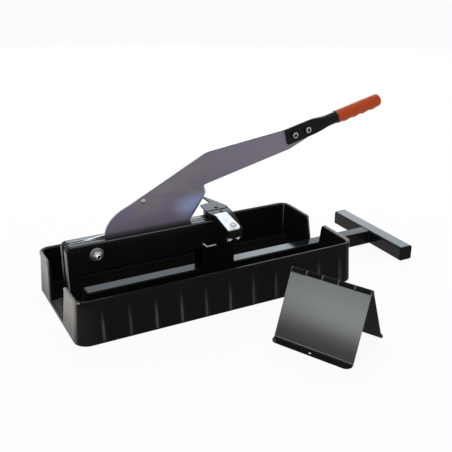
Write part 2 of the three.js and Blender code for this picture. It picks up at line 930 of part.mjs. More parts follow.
function bladeOutline(inset) {
  const back = curvePoints(
    new THREE.QuadraticBezierCurve(
      new THREE.Vector2(...bladeBackFoot),
      new THREE.Vector2(...bladeBackPull),
      new THREE.Vector2(...bladeBackHead),
    ),
    2 * arcSteps,
  );
  const tip = [bladeTip[0] - inset, bladeTip[1]];
  const nose = [bladeNose[0] - inset, bladeNose[1] + inset / 2];
  const knee = [bladeEdgeKnee[0] - inset, bladeEdgeKnee[1] + inset / 2];
  const edge = [
    knee,
    [bladeEdgeFront[0] - inset / 2, bladeEdgeFront[1] + inset],
    [bladeEdgeHeel[0], bladeEdgeHeel[1] + inset],
  ];
  const heelStart = Math.atan2(bladeEdgeHeel[1], bladeEdgeHeel[0]);
  const heelEnd = Math.PI - Math.atan2(bladeBackFoot[1], bladeBackFoot[0]);
  const heel = [];
  const heelTurn = 2 * Math.PI - heelEnd + heelStart;
  for (let step = 1; step <= roundSteps / 2; step += 1) {
    const angle = heelStart - (heelTurn * step) / (roundSteps / 2);
    heel.push([bladeHeelRadius * Math.cos(angle), bladeHeelRadius * Math.sin(angle)]);
  }
  return [
    ...back,
    ...bend(bladeBackHead, bladeShoulder, bladeTailTop, bladeShoulderRound),
    ...bend(bladeShoulder, bladeTailTop, bladeTailFoot, bladeTailRound),
    ...bend(bladeTailTop, bladeTailFoot, bladeArmFoot, bladeTailRound),
    bladeArmFoot,
    ...bend(bladeArmFoot, bladeNotch, tip, bladeNotchRound),
    ...bend(bladeNotch, tip, nose, bladeTipRound),
    ...bend(tip, nose, knee, bladeTipRound),
    ...edge,
    ...heel,
  ];
}

const handleRun = [Math.cos(handleAngle), Math.sin(handleAngle)];

function handlePoint(along, across = 0) {
  return [
    pivotX + handleStartX + along * handleRun[0] - across * handleRun[1],
    pivotZ + handleStartZ + along * handleRun[1] + across * handleRun[0],
  ];
}

function blade() {
  const layers = [
    [bladeHalf, 0],
    [bladeHalf - bladeLand, 0],
    [-bladeHalf, bladeBevelWidth],
  ];
  const rings = layers.map(([offset, inset]) =>
    bladeOutline(inset).map(([x, z]) => [pivotX + x, lane + offset, pivotZ + z]),
  );
  const body = solid(loft(rings, bladeOutline(0)));
  const cutters = [
    rod(
      pivotBushOuter + boreGap,
      [pivotX, lane - overrun, pivotZ],
      [pivotX, lane + overrun, pivotZ],
    ),
    rod(
      studBolt + boreGap,
      [pivotX + studX, lane - overrun, pivotZ + studZ],
      [pivotX + studX, lane + overrun, pivotZ + studZ],
      smallSteps,
    ),
  ];
  handleBoltPlaces.forEach((along) => {
    const [x, z] = handlePoint(along);
    cutters.push(rod(handleBolt + boreGap, [x, lane - overrun, z], [x, lane + overrun, z], smallSteps));
  });
  return cutBy(body, cutters);
}

add("blade", blade(), "blade_steel");

function hexBoltY(x, z, bolt, headAcross, headHeight, seatY, endY) {
  const side = Math.sign(endY - seatY);
  return joined([
    hexRod(headAcross, [x, seatY - side * headHeight, z], [x, seatY, z]),
    rod(bolt, [x, seatY - side * seatGap, z], [x, endY, z], smallSteps),
  ]);
}

function hexNutY(x, z, bolt, across, yFrom, yTo) {
  const bore = rod(bolt + boreGap, [x, yFrom - overrun, z], [x, yTo + overrun, z], smallSteps);
  return hexRod(across, [x, yFrom, z], [x, yTo, z]).subtract(bore);
}

function stud() {
  const x = pivotX + studX;
  const z = pivotZ + studZ;
  const seatY = lane - bladeHalf - seatGap;
  return joined([
    rod(studHead, [x, seatY - studHeadHeight, z], [x, seatY, z]),
    rod(studBolt, [x, seatY - seatGap, z], [x, lane + bladeHalf + studNutHeight + seatGap, z], smallSteps),
  ]);
}

const studNutY = lane + bladeHalf + seatGap;

add("blade_stud", stud(), "blade_steel");
add(
  "blade_stud_nut",
  hexNutY(pivotX + studX, pivotZ + studZ, studBolt, studNutAcross, studNutY, studNutY + studNutHeight),
  "zinc",
);

// Handle tube: flat at the blade, swaged out to a round tube under the grip
function handleSection(along, halfWidth, halfPlate, squareness) {
  const section = [];
  for (let step = 0; step < roundSteps; step += 1) {
    const angle = (step / roundSteps) * 2 * Math.PI;
    const power = 2 / squareness;
    const across = halfWidth * Math.sign(Math.cos(angle)) * Math.abs(Math.cos(angle)) ** power;
    const out = halfPlate * Math.sign(Math.sin(angle)) * Math.abs(Math.sin(angle)) ** power;
    section.push({ along, across, out });
  }
  return section;
}

function handleSkin(sections) {
  const rings = sections.map((section) =>
    section.map(({ along, across, out }) => {
      const [x, z] = handlePoint(along, across);
      return [x, lane - handleOffset + out, z];
    }),
  );
  const outline = sections[0].map(({ across, out }) => [across, out]);
  return solid(loft(rings, outline));
}

const flatSquareness = 8;
const roundSquareness = 2;

function handleTubeBody() {
  const sections = [];
  sections.push(handleSection(0, handleFlatWidth / 2, handleFlatPlate / 2, flatSquareness));
  for (let step = 0; step <= swageSteps; step += 1) {
    const share = step / swageSteps;
    const ease = THREE.MathUtils.smoothstep(share, 0, 1);
    sections.push(
      handleSection(
        handleFlatLength + share * handleSwage,
        THREE.MathUtils.lerp(handleFlatWidth, handleTube, ease) / 2,
        THREE.MathUtils.lerp(handleFlatPlate, handleTube, ease) / 2,
        THREE.MathUtils.lerp(flatSquareness, roundSquareness, Math.sqrt(ease)),
      ),
    );
  }
  sections.push(handleSection(handleLength - gripEndWall, handleTube / 2, handleTube / 2, roundSquareness));
  const hollowHalf = handleTube / 2 - handleTubeWall;
  const hollow = handleSkin([
    handleSection(handleFlatLength + handleSwage, hollowHalf, hollowHalf, roundSquareness),
    handleSection(handleLength + overrun, hollowHalf, hollowHalf, roundSquareness),
  ]);
  const cutters = handleBoltPlaces.map((along) => {
    const [x, z] = handlePoint(along);
    return rod(handleBolt + boreGap, [x, lane - handleTube, z], [x, lane, z], smallSteps);
  });
  return cutBy(handleSkin(sections), [hollow, ...cutters]);
}

// Grip: a sleeve with a round nose and finger ridges on its underside
function gripBody() {
  const lengths = Array.from({ length: gripSteps + 1 }, (_, step) => step / gripSteps);
  const ridgeSpanShare = 0.82;
  const ridgeStartShare = 0.08;
  const sections = lengths.map((share) => {
    const along = share * gripLength;
    const fromNose = Math.min(1, (gripLength - along) / gripNoseRound);
    const noseShare = Math.sqrt(Math.max(0, 1 - (1 - fromNose) ** 2));
    const lip = share === 0 ? gripLip : 0;
    const inRidges = (share - ridgeStartShare) / ridgeSpanShare;
    const wave = inRidges > 0 && inRidges < 1 ? Math.sin(inRidges * gripRidges * Math.PI) ** 2 : 0;
    const smallest = gripNoseRound / 2;
    const radius = Math.max(smallest, (gripOuter / 2) * noseShare) - lip;
    return handleSection(gripStart + along, radius, radius, roundSquareness).map((point) => {
      const under = Math.max(0, -point.across / radius);
      return { ...point, across: point.across - gripRidgeHeight * wave * under ** 2 };
    });
  });
  const boreHalf = handleTube / 2 + boreGap;
  const bore = handleSkin([
    handleSection(gripStart - overrun, boreHalf, boreHalf, roundSquareness),
    handleSection(handleLength - gripEndWall + seatGap, boreHalf, boreHalf, roundSquareness),
  ]);
  return handleSkin(sections).subtract(bore);
}

add("handle_tube", handleTubeBody(), "black_paint");
add("grip", gripBody(), "orange_grip");

const handleFrontY = lane - handleOffset - handleFlatPlate / 2 - seatGap;
const handleNutY = lane + bladeHalf + seatGap;

handleBoltPlaces.forEach((along, index) => {
  const [x, z] = handlePoint(along);
  const number = index + 1;
  const washerFace = handleFrontY - handleWasherPlate;
  const washer = rod(handleWasher, [x, washerFace, z], [x, handleFrontY, z]).subtract(
    rod(handleBolt + boreGap, [x, washerFace - overrun, z], [x, handleFrontY + overrun, z], smallSteps),
  );
  add("handle_washer_" + number, washer, "zinc");
  add(
    "handle_bolt_" + number,
    hexBoltY(
      x,
      z,
      handleBolt,
      handleHeadAcross,
      handleHeadHeight,
      washerFace - seatGap,
      handleNutY + handleNutHeight + seatGap,
    ),
    "zinc",
  );
  add(
    "handle_nut_" + number,
    hexNutY(x, z, handleBolt, handleHeadAcross, handleNutY, handleNutY + handleNutHeight),
    "zinc",
  );
});

// Fence arms: profiles are drawn as reach from the lane against height, plans as X against reach
const armInner = armGap / 2;
const armSeat = beamTop + seatGap;
const armEndZ = armTop - armDrop;
const gussetReach = armReach - gussetInset;
const wearEndReach = armReach - wearEndGap;
const wearScrewReach = armReach - wearScrewInset;
const clampReach = armReach - clampInset;
const clampZ = armTop - clampDrop;
const slopeRun = armReach - armFlatReach;

function slopeTop(reach) {
  return armTop - armDrop * Math.max(0, (reach - armFlatReach) / slopeRun);
}

const slopePlate = armPlate / Math.cos(slopeAngle);
const lipInner = armReach - armPlate;

function towardFront(points) {
  return shapeOf(points.map(([reach, z]) => [lane - reach, z]));
}

function frontArm() {
  const kinkLeftX = armLeftX + armKinkLeftInset;
  const endLeftX = armLeftX + armEndLeftInset;
  const endRightX = armRightX - armEndRightInset;
  const profile = towardFront([
    [armInner, armSeat],
    [armInner, armTop],
    [armFlatReach, armTop],
    [armReach, armEndZ],
    [armReach, armEndZ - armLip],
    [lipInner, armEndZ - armLip],
    [lipInner, slopeTop(lipInner) - slopePlate],
    [armFlatReach, armTop - armPlate],
    [cheekOuter, armTop - armPlate],
    [cheekOuter, armSeat],
  ]);
  const plan = shapeOf([
    [armLeftX, lane - armInner + seatGap],
    [armRightX, lane - armInner + seatGap],
    [armRightX - armKinkRightInset, lane - armFlatReach],
    [endRightX, lane - armReach + armCorner],
    [endRightX - armCorner, lane - armReach],
    [endLeftX + armCorner, lane - armReach],
    [endLeftX, lane - armReach + armCorner],
    [kinkLeftX, lane - armFlatReach],
  ]);
  const sheet = prismYZ(profile, armLeftX - overrun, armRightX + overrun);
  const arm = sheet.intersect(prismXY(plan, 0, armTop + overrun));
  const gussetTop = armTop - armPlate / 2;
  const gusset = prismYZ(
    towardFront([
      [cheekOuter + seatGap, gussetTop],
      [armFlatReach, gussetTop],
      [gussetReach, slopeTop(gussetReach) - armPlate / 2],
      [cheekOuter + seatGap, armTop - armPlate - gussetDepth],
    ]),
    kinkLeftX + gussetPlate / 2,
    kinkLeftX + gussetPlate + gussetPlate / 2,
  );
  const lugNear = clampReach - lugReach / 2;
  const lugFar = clampReach + lugReach / 2;
  const lugX = armLeftX + lugInset;
  const lug = prismYZ(
    towardFront([
      [lugNear, armTop - lugHeight],
      [lugNear, slopeTop(lugNear) - armPlate / 2],
      [lugFar, slopeTop(lugFar) - armPlate / 2],
      [lugFar, armTop - lugHeight],
    ]),
    lugX,
    lugX + lugPlate,
  );
  return cutBy(joined([arm, gusset, lug]), [
    armScrewPocket(-1),
    rod(
      clampBolt + boreGap,
      [lugX - overrun, lane - clampReach, clampZ],
      [lugX + overrun, lane - clampReach, clampZ],
      smallSteps,
    ),
    slopeRod(wearScrew + boreGap, -overrun, overrun),
  ]);
}

function rearArm() {
  const shoulderX = armRightX + rearShoulderProud;
  const tailX = armLeftX + rearTailInset;
  const points = [
    [armLeftX, armInner],
    [armRightX, armInner],
    [shoulderX, rearShoulderReach],
    [tailX + rearTailTip, rearTailReach],
    [tailX, rearTailReach],
    [tailX, rearFlatEndReach],
    [armLeftX + rearFlatInset, rearFlatReach],
  ];
  const plan = shapeOf(points.map(([x, reach]) => [x, lane + reach]));
  const plate = prismXY(plan, armTop - armPlate, armTop);
  const riser = prismXY(plan, armSeat, armTop).intersect(
    block(armLeftX, shoulderX, lane, lane + cheekOuter, 0, armTop),
  );
  return joined([plate, riser]).subtract(armScrewPocket(1));
}

function armScrewPocket(side) {
  const y = lane + side * armScrewOffset;
  return joined([
    rod(armScrew + boreGap, [armScrewX, y, 0], [armScrewX, y, armTop + overrun], smallSteps),
    rod(
      armScrewHead + 2 * boreGap,
      [armScrewX, y, armTop - armScrewHeadHeight - seatGap],
      [armScrewX, y, armTop + overrun],
      smallSteps,
    ),
  ]);
}

// Rod square to the slope at the wear plate's screw, between two distances above the arm
function slopeRod(diameter, from, to) {
  const foot = [armLeftX + wearScrewOffset, lane - wearScrewReach, slopeTop(wearScrewReach)];
  const up = [0, -Math.sin(slopeAngle), Math.cos(slopeAngle)];
  const at = (distance) => foot.map((value, axis) => value + distance * up[axis]);
  return rod(diameter, at(from), at(to), smallSteps);
}

function wearPlateBody() {
  const under = (reach) => slopeTop(reach) + seatGap / Math.cos(slopeAngle);
  const over = (reach) => under(reach) + wearPlate / Math.cos(slopeAngle);
  const profile = towardFront([
    [wearStartReach, armTop + seatGap],
    [wearStartReach, armTop + seatGap + wearPlate],
    [armFlatReach, over(armFlatReach)],
    [wearEndReach, over(wearEndReach)],
    [wearEndReach, under(wearEndReach)],
    [armFlatReach, under(armFlatReach)],
  ]);
  const startLeftX = armLeftX + wearStartInset;
  const startRightX = startLeftX + wearStartWidth;
  const endLeftX = armLeftX + wearEndInset;
  const endRightX = endLeftX + wearEndWidth;
  const nearY = lane - wearStartReach;
  const farY = lane - wearEndReach;
  const shape = new THREE.Shape();
  shape.moveTo(startLeftX, nearY + overrun);
  shape.lineTo(startLeftX, nearY);
  shape.lineTo(endLeftX, farY);
  shape.lineTo(endRightX - wearRound, farY);
  shape.quadraticCurveTo(endRightX, farY, endRightX, farY + wearRound);
  shape.lineTo(startRightX, nearY);
  shape.lineTo(startRightX, nearY + overrun);
  const sheet = prismYZ(profile, startLeftX - overrun, endRightX + overrun);
  const trimmed = sheet.intersect(prismXY(shape, 0, armTop + overrun));
  return trimmed.subtract(slopeRod(wearScrew + boreGap, -overrun, overrun));
}

function wearScrewBody() {
  const seat = seatGap + wearPlate + seatGap;
  return joined([
    slopeRod(wearScrewRim, seat, seat + wearScrewRimHeight),
    slopeRod(wearScrewHead, seat, seat + wearScrewRimHeight + wearScrewHeadHeight),
    slopeRod(wearScrew, seat - wearScrewLength, seat + wearScrewRimHeight),
  ]);
}

add("front_fence_arm", frontArm(), "black_paint");
add("rear_fence_arm", rearArm(), "black_paint");
add("wear_plate", wearPlateBody(), "zinc");
add("wear_plate_screw", wearScrewBody(), "zinc");

[-1, 1].forEach((side) => {
  add(
    sideNames[side] + "_arm_screw",
    socketScrew(
      armScrewX,
      lane + side * armScrewOffset,
      armTop - armScrewHeadHeight,
      armScrewHead,
      armScrewHeadHeight,
      armScrew,
      armScrewDepth,
      armScrewSocket,
    ),
    "dark_steel",
  );
});

function clampBoltBody() {
  const y = lane - clampReach;
  const headX = armLeftX + clampHeadInset;
  const seatX = headX + clampHeadHeight;
  return joined([
    hexRod(clampHeadAcross, [headX, y, clampZ], [seatX, y, clampZ]),
    rod(clampBolt, [seatX - seatGap, y, clampZ], [headX + clampLength, y, clampZ], smallSteps),
  ]);
}

function clampNut() {
  const y = lane - clampReach;
  const nutX = armLeftX + clampNutInset;
  const nut = hexRod(clampHeadAcross, [nutX, y, clampZ], [nutX + clampNutHeight, y, clampZ]);
  const bore = rod(clampBolt + boreGap, [nutX - overrun, y, clampZ], [nutX + overrun, y, clampZ], smallSteps);
  return nut.subtract(bore);
}

add("clamp_bolt", clampBoltBody(), "zinc");
add("clamp_nut", clampNut(), "zinc");

// Angle clip on the front of the right leg, and its rivet
function clip() {
  const backY = lane - cheekOuter - seatGap;
  const rivetX = clipX + clipWidth / 2;
  const body = joined([
    block(clipX, clipX + clipWidth, backY - clipReach, backY, clipTop - clipPlate, clipTop),
    block(clipX, clipX + clipWidth, backY - clipPlate, backY, clipTop - clipHeight, clipTop),
  ]);
  return body.subtract(
    rod(
      rivetShank + boreGap,
      [rivetX, backY - clipPlate - overrun, clipTop - rivetDrop],
      [rivetX, backY + overrun, clipTop - rivetDrop],
      smallSteps,
    ),
  );
}

function rivet() {
  const x = clipX + clipWidth / 2;
  const z = clipTop - rivetDrop;
  const seatY = lane - cheekOuter - seatGap - clipPlate - seatGap;
  return joined([
    rod(rivetHead, [x, seatY - rivetHeadHeight, z], [x, seatY, z], smallSteps),
    rod(rivetShank, [x, seatY - seatGap, z], [x, lane - cheekInner, z], smallSteps),
  ]);
}

add("leg_clip", clip(), "black_paint");
add("leg_clip_rivet", rivet(), "dark_steel");

// Stand, drawn about its own middle with the hinge along X and then turned into place
const knuckleHalf = knuckleOuter / 2;
const standAxisZ = standHeight - knuckleHalf;
const leafTilt = Math.atan2(standSpread, standAxisZ);
const knuckleLength = standWidth / knuckleCount;

function placedStand(body) {
  return body.rotate([0, 0, THREE.MathUtils.radToDeg(standYaw)]).translate([standX, standY, 0]);
}

function leafPoint(side, down, out) {
  return [
    side * (down * Math.sin(leafTilt) + out * Math.cos(leafTilt)),
    standAxisZ - down * Math.cos(leafTilt) + out * Math.sin(leafTilt),
  ];
}

function knuckle(index, extra) {
  const start = -standWidth / 2 + index * knuckleLength;
  const from = start + seatGap / 2 - extra;
  const to = start + knuckleLength - seatGap / 2 + extra;
  return rod(knuckleOuter + 2 * extra, [from, 0, standAxisZ], [to, 0, standAxisZ]);
}

function leaf(side) {
  const outer = knuckleHalf;
  const inner = knuckleHalf - standPlate;
  const outerLength = (standAxisZ + outer * Math.sin(leafTilt)) / Math.cos(leafTilt);
  const innerLength = (standAxisZ + inner * Math.sin(leafTilt)) / Math.cos(leafTilt);
  const outerFoot = leafPoint(side, outerLength, outer);
  const innerFoot = leafPoint(side, innerLength, inner);
  const flangeLength = (standAxisZ - standPlate + outer * Math.sin(leafTilt)) / Math.cos(leafTilt);
  const flangeTop = leafPoint(side, flangeLength, outer);
  const flangeEnd = outerFoot[0] + side * standFlange;
  const profile = shapeOf([
    leafPoint(side, 0, inner),
    leafPoint(side, 0, outer),
    flangeTop,
    [flangeEnd, standPlate],
    [flangeEnd, 0],
    innerFoot,
  ]);
  const half = standWidth / 2;
  const sheet = prismYZ(profile, -half, half);
  const footY = outerFoot[0];
  const plan = new THREE.Shape();
  const nearY = footY - side * 2 * standSpread;
  const roundY = flangeEnd - side * standFlangeRound;
  plan.moveTo(-half, nearY);
  plan.lineTo(-half, roundY);
  plan.quadraticCurveTo(-half, flangeEnd, -half + standFlangeRound, flangeEnd);
  plan.lineTo(half - standFlangeRound, flangeEnd);
  plan.quadraticCurveTo(half, flangeEnd, half, roundY);
  plan.lineTo(half, nearY);
  const rounded = sheet.intersect(prismXY(plan, -overrun, standHeight + overrun));
  const holeY = flangeEnd - (side * standFlange) / 2;
  const own = [];
  const others = [];
  for (let index = 0; index < knuckleCount; index += 1) {
    const mine = (index % 2 === 0) === side < 0;
    (mine ? own : others).push(knuckle(index, mine ? 0 : slideGap));
  }
  const cutters = [
    ...others,
    rod(standHole, [0, holeY, -overrun], [0, holeY, standPlate + overrun], smallSteps),
    rod(hingePin + boreGap, [-half - overrun, 0, standAxisZ], [half + overrun, 0, standAxisZ], smallSteps),
  ];
  return placedStand(cutBy(joined([rounded, ...own]), cutters));
}

function pin() {
  const half = standWidth / 2 + seatGap;
  return placedStand(
    joined([
      rod(hingePin, [-half, 0, standAxisZ], [half, 0, standAxisZ], smallSteps),
      rod(pinHead, [-half - pinHeadHeight, 0, standAxisZ], [-half, 0, standAxisZ], smallSteps),
      rod(pinHead, [half, 0, standAxisZ], [half + pinHeadHeight, 0, standAxisZ], smallSteps),
    ]),
  );
}

add("stand_front_leaf", leaf(-1), "black_paint");
add("stand_rear_leaf", leaf(1), "black_paint");
add("stand_hinge_pin", pin(), "dark_steel");

export default part;
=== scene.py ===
import json
import math

import bmesh
import bpy
from mathutils import Matrix, Vector


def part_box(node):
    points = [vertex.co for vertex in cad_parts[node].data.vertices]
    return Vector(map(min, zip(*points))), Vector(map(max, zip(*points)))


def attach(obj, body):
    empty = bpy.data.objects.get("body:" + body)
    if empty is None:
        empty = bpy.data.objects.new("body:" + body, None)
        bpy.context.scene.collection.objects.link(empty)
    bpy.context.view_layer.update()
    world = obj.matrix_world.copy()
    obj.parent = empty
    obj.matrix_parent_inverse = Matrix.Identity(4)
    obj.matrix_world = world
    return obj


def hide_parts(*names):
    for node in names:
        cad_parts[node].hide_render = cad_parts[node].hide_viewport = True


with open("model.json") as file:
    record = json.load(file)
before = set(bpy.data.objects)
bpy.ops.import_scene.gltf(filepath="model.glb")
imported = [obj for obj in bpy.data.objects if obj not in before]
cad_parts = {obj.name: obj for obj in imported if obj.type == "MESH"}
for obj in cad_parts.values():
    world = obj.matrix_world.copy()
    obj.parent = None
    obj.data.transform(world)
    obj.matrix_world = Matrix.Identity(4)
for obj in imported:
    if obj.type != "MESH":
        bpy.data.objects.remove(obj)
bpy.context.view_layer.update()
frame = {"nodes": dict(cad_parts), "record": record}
scene = bpy.context.scene
mm = 0.001  # sizes below are in millimetres, in the frame's own axes
lane = 3  # middle line of the slots, the stabiliser and the blade
gap = 0.3  # play between pieces that lie on each other
tip = 0.2  # radius left at the middle of a closed round end
forward, rearward, rightward, upward = (0, -1, 0), (0, 1, 0), (1, 0, 0), (0, 0, 1)

# sizes that both a piece and its finish need
trayHeight, trayFlare = 88, 5.5
fluteFirst, flutePitch = -254, 52
leftSlotFoot = 49.5
cheekFront = -17.8
handleLean = 13.6
hinge = {"x": 117, "y": -315.4, "yaw": -63.8, "width": 162, "knuckles": 5}
print("frame loaded")


def boxOf(node):
    return [[c / mm for c in corner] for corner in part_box(node)]


# a value in a node tree, used in plain sums and comparisons
class Value:
    def __init__(self, tree, socket):
        self.tree = tree
        self.socket = socket

    def __add__(self, other):
        return self.tree.sum("ADD", self, other)

    def __sub__(self, other):
        return self.tree.sum("SUBTRACT", self, other)

    def __rsub__(self, other):
        return self.tree.sum("SUBTRACT", other, self)

    def __mul__(self, other):
        return self.tree.sum("MULTIPLY", self, other)

    def __truediv__(self, other):
        return self.tree.sum("DIVIDE", self, other)

    def __pow__(self, other):
        return self.tree.sum("POWER", self, other)

    def __lt__(self, other):
        return self.tree.sum("LESS_THAN", self, other)

    def __gt__(self, other):
        return self.tree.sum("GREATER_THAN", self, other)

    def __abs__(self):
        return self.tree.sum("ABSOLUTE", self)

    __radd__ = __add__
    __rmul__ = __mul__


# a node tree: node() takes a type, its settings, then its sockets' values or links
class NodeTree:
    def __init__(self, tree):
        self.tree = tree
        self.tree.nodes.clear()

    def node(self, kind, settings=None, sockets=None, out=0):
        made = self.tree.nodes.new(kind)
        for key, value in (settings or {}).items():
            setattr(made, key, value)
        for key, value in (sockets or {}).items():
            for link in value if isinstance(value, list) else [value]:
                if isinstance(link, Value):
                    self.tree.links.new(link.socket, made.inputs[key])
                else:
                    made.inputs[key].default_value = link
        return Value(self, made.outputs[out]) if made.outputs else made

    def sum(self, operation, first, second=0.0):
        return self.node("ShaderNodeMath", {"operation": operation}, {0: first, 1: second})

    def split(self, place):
        return [self.node("ShaderNodeSeparateXYZ", sockets={0: place}, out=axis) for axis in range(3)]

    # how far a value lies from the nearest of evenly spaced places
    def aside(self, value, first, pitch):
        turn = (value - first) / pitch
        return (turn - self.sum("ROUND", turn)) * pitch


class Finish(NodeTree):
    def __init__(self, name, holder=None):
        self.holder = holder or bpy.data.materials.new(name)
        self.holder.use_nodes = True
        super().__init__(self.holder.node_tree)

    def coords(self, scale=(1, 1, 1), lean=0, centre=(0, 0, 0)):
        place = self.node("ShaderNodeTexCoord", out=3)
        moved = self.node("ShaderNodeVectorMath", {"operation": "SUBTRACT"}, {0: place, 1: centre})
        return self.node("ShaderNodeMapping", sockets={
            "Vector": moved, "Rotation": (0, math.radians(lean), 0), "Scale": scale})

    # x, y and z in millimetres
    def axes(self):
        return [value / mm for value in self.split(self.coords())]

    def noise(self, scale, detail=3.0, vector=None, rough=0.5):
        return self.node("ShaderNodeTexNoise", sockets={
            "Vector": vector or self.coords(), "Scale": scale, "Detail": detail, "Roughness": rough})

    def band(self, value, low, high, toLow=0.0, toHigh=1.0):
        return self.node("ShaderNodeMapRange", {"interpolation_type": "SMOOTHSTEP"}, {
            "Value": value, "From Min": low, "From Max": high, "To Min": toLow, "To Max": toHigh})

    def fall(self, value, low, high):
        return self.band(value, low, high, 1.0, 0.0)

    def mix(self, share, first, second):
        return self.node("ShaderNodeMix", {"data_type": "RGBA"}, {0: share, 6: first, 7: second}, out=2)

    def bump(self, height, strength, distance):
        return self.node("ShaderNodeBump", sockets={
            "Height": height, "Strength": strength, "Distance": distance * mm})

    def done(self, sockets):
        surface = self.node("ShaderNodeBsdfPrincipled", sockets=sockets)
        self.node("ShaderNodeOutputMaterial", sockets={"Surface": surface})
        return self.holder


# moulded black plastic of the tray and the end caps: drawn marks down the walls, fine grain, handling scuffs
trayPlastic = {
    "dark": (0.004, 0.0038, 0.0037, 1),
    "pale": (0.011, 0.01, 0.0092, 1),
    "grain": 1100,
    "rough": 0.3,
    "gloss": 0.04,
}
# painted light on the tray, pale colour where light falls: painted reflections on its end faces, painted light
# on the floor at the slots, and painted highlights on the flute crests, along the inner edge of the rim, on
# the front left corner and on the seam inside the rear right corner
trayPaintedLight = {
    "colour": (0.34, 0.31, 0.285, 1),
    "endX": (295.3, 300.3), "endZ": (8, 74), "endShares": (0.42, 0.95),
    "sillX": (252, 292), "sillZ": (6.4, 6.8), "sillShare": 0.15, "sillEdge": 1.4, "edgeShare": 0.5,
    "fluteWide": 6, "fluteNarrow": 1.6, "fluteEnd": 290, "fluteY": (136, 139), "fluteZ": (25.2, 72),
    "fluteFoot": (0, 9), "fluteShare": 0.5,
    "rimX": 296.6, "rimY": 133.1, "rimFoot": (84.9, 85.4), "rimTop": (87.5, 87.9), "rimFade": (-90, 40),
    "rimShare": 0.9,
    "cornerX": (-292, -250), "cornerY": (-130, -100), "cornerZ": (70, 84), "cornerShare": 0.05,
    "seamX": 278, "seamY": 114.5, "seamLength": 27, "seamWide": (0.6, 1.3), "seamZ": (14, 76),
    "seamShare": 0.8,
}


def plasticFinish(name, look, lightMarks=None):
    f = Finish(name)
    cloud = f.noise(8, 4)
    drawn = f.noise(1, 3, f.coords((70, 70, 9)))
    grain = f.noise(look["grain"], 2)
    scuff = f.band(f.noise(50, 6, rough=0.7), 0.52, 0.72)
    base = f.mix(cloud * 0.7 + scuff * 0.4, look["dark"], look["pale"])
    if lightMarks:
        # painted reflections and painted highlights mixed into the tray's colour
        base = f.mix(rubbedShare(f, lightMarks, cloud, drawn), base, lightMarks["colour"])
    return f.done({
        "Base Color": base,
        "Roughness": look["rough"] + 0.08 * drawn + 0.16 * scuff,
        "Specular IOR Level": look["gloss"],
        "Normal": f.bump(grain * 0.4 + drawn * 0.6, 0.3, 0.3),
    })


# share of the tray's painted light at each place
def rubbedShare(f, lightMarks, cloud, drawn):
    x, y, z = f.axes()
    reachX, reachY, off = abs(x), abs(y), abs(y - lane)
    straightX = reachX - (1 - z / trayHeight) * trayFlare
    ends = f.band(straightX, *lightMarks["endX"]) * f.band(z, *lightMarks["endZ"], *lightMarks["endShares"])
    ends = ends * (0.55 + 0.9 * cloud)
    patch = (off < leftSlotFoot) * lightMarks["sillShare"] * (0.5 + cloud)
    border = (abs(off - leftSlotFoot) < lightMarks["sillEdge"] / 2) * lightMarks["edgeShare"]
    sill = f.band(reachX, *lightMarks["sillX"]) * f.fall(z, *lightMarks["sillZ"]) * f.sum("MAXIMUM", patch, border)
    sill = sill * (straightX < lightMarks["endX"][0])
    aside = f.aside(x, fluteFirst, flutePitch)
    streak = f.band(aside, -lightMarks["fluteWide"], 0) * f.fall(aside, 0, lightMarks["fluteNarrow"])
    streak = streak * (reachX < lightMarks["fluteEnd"]) * f.fall(z, *lightMarks["fluteZ"]) * f.band(z, *lightMarks["fluteFoot"])
    flutes = streak * f.band(reachY, *lightMarks["fluteY"]) * drawn * lightMarks["fluteShare"]
    rim = f.band(z, *lightMarks["rimFoot"]) * f.fall(z, *lightMarks["rimTop"]) * f.band(y, *lightMarks["rimFade"], 1.0, 0.2)
    rim = rim * (reachX < lightMarks["rimX"]) * (reachY < lightMarks["rimY"]) * lightMarks["rimShare"]
    corner = f.fall(x, *lightMarks["cornerX"]) * f.fall(y, *lightMarks["cornerY"]) * f.fall(z, *lightMarks["cornerZ"])
    overX, overY = x - lightMarks["seamX"], y - lightMarks["seamY"]
    seam = f.fall(abs(overX - overY), *lightMarks["seamWide"]) * f.band(z, *lightMarks["seamZ"]) * lightMarks["seamShare"]
    seam = seam * (overX > 0) * (overX + overY < lightMarks["seamLength"])
    return ends + sill + flutes + rim + corner * cloud * lightMarks["cornerShare"] + seam


# semi-gloss black coat: faint orange peel, cloudy sheen, a few dry scuffs
beamCoat = {
    "dark": (0.0045, 0.0045, 0.005, 1),
    "pale": (0.011, 0.011, 0.012, 1),
    "peel": 380,
    "rough": 0.12,
    "gloss": 0.1,
}
crossbarCoat = dict(beamCoat, rough=0.1, gloss=0.155)
armCoat = dict(beamCoat, rough=0.22, gloss=0.065)
innerCoat = dict(beamCoat, rough=0.3, gloss=0.04)
handleCoat = dict(beamCoat, rough=0.12, gloss=0.08)
# a second, clearer coat whose share changes along one axis: low, then full, less again before the end
leafShine = {"axis": 2, "start": 3.5, "dim": 12, "full": 58, "fade": 50, "end": 117,
             "low": 0.42, "high": 1.0, "less": 0.44, "rough": 0.17, "index": 1.65}
tubeShine = {"axis": 0, "start": -600, "dim": 20, "full": 130, "fade": 226, "end": 246,
             "low": 0.0, "high": 0.4, "less": 0.4, "rough": 0.13, "index": 1.5}
standCoat = dict(beamCoat, rough=0.15, gloss=0.04, pale=(0.013, 0.0145, 0.014, 1), shine=leafShine)
tubeCoat = dict(beamCoat, rough=0.1, gloss=0.055, shine=tubeShine)
# pale ticks where the stand's hinge knuckles meet, painted highlights
hingeHighlights = {"colour": (0.24, 0.24, 0.22, 1), "half": 0.8, "blur": 0.3, "low": 117, "roughLow": 115}
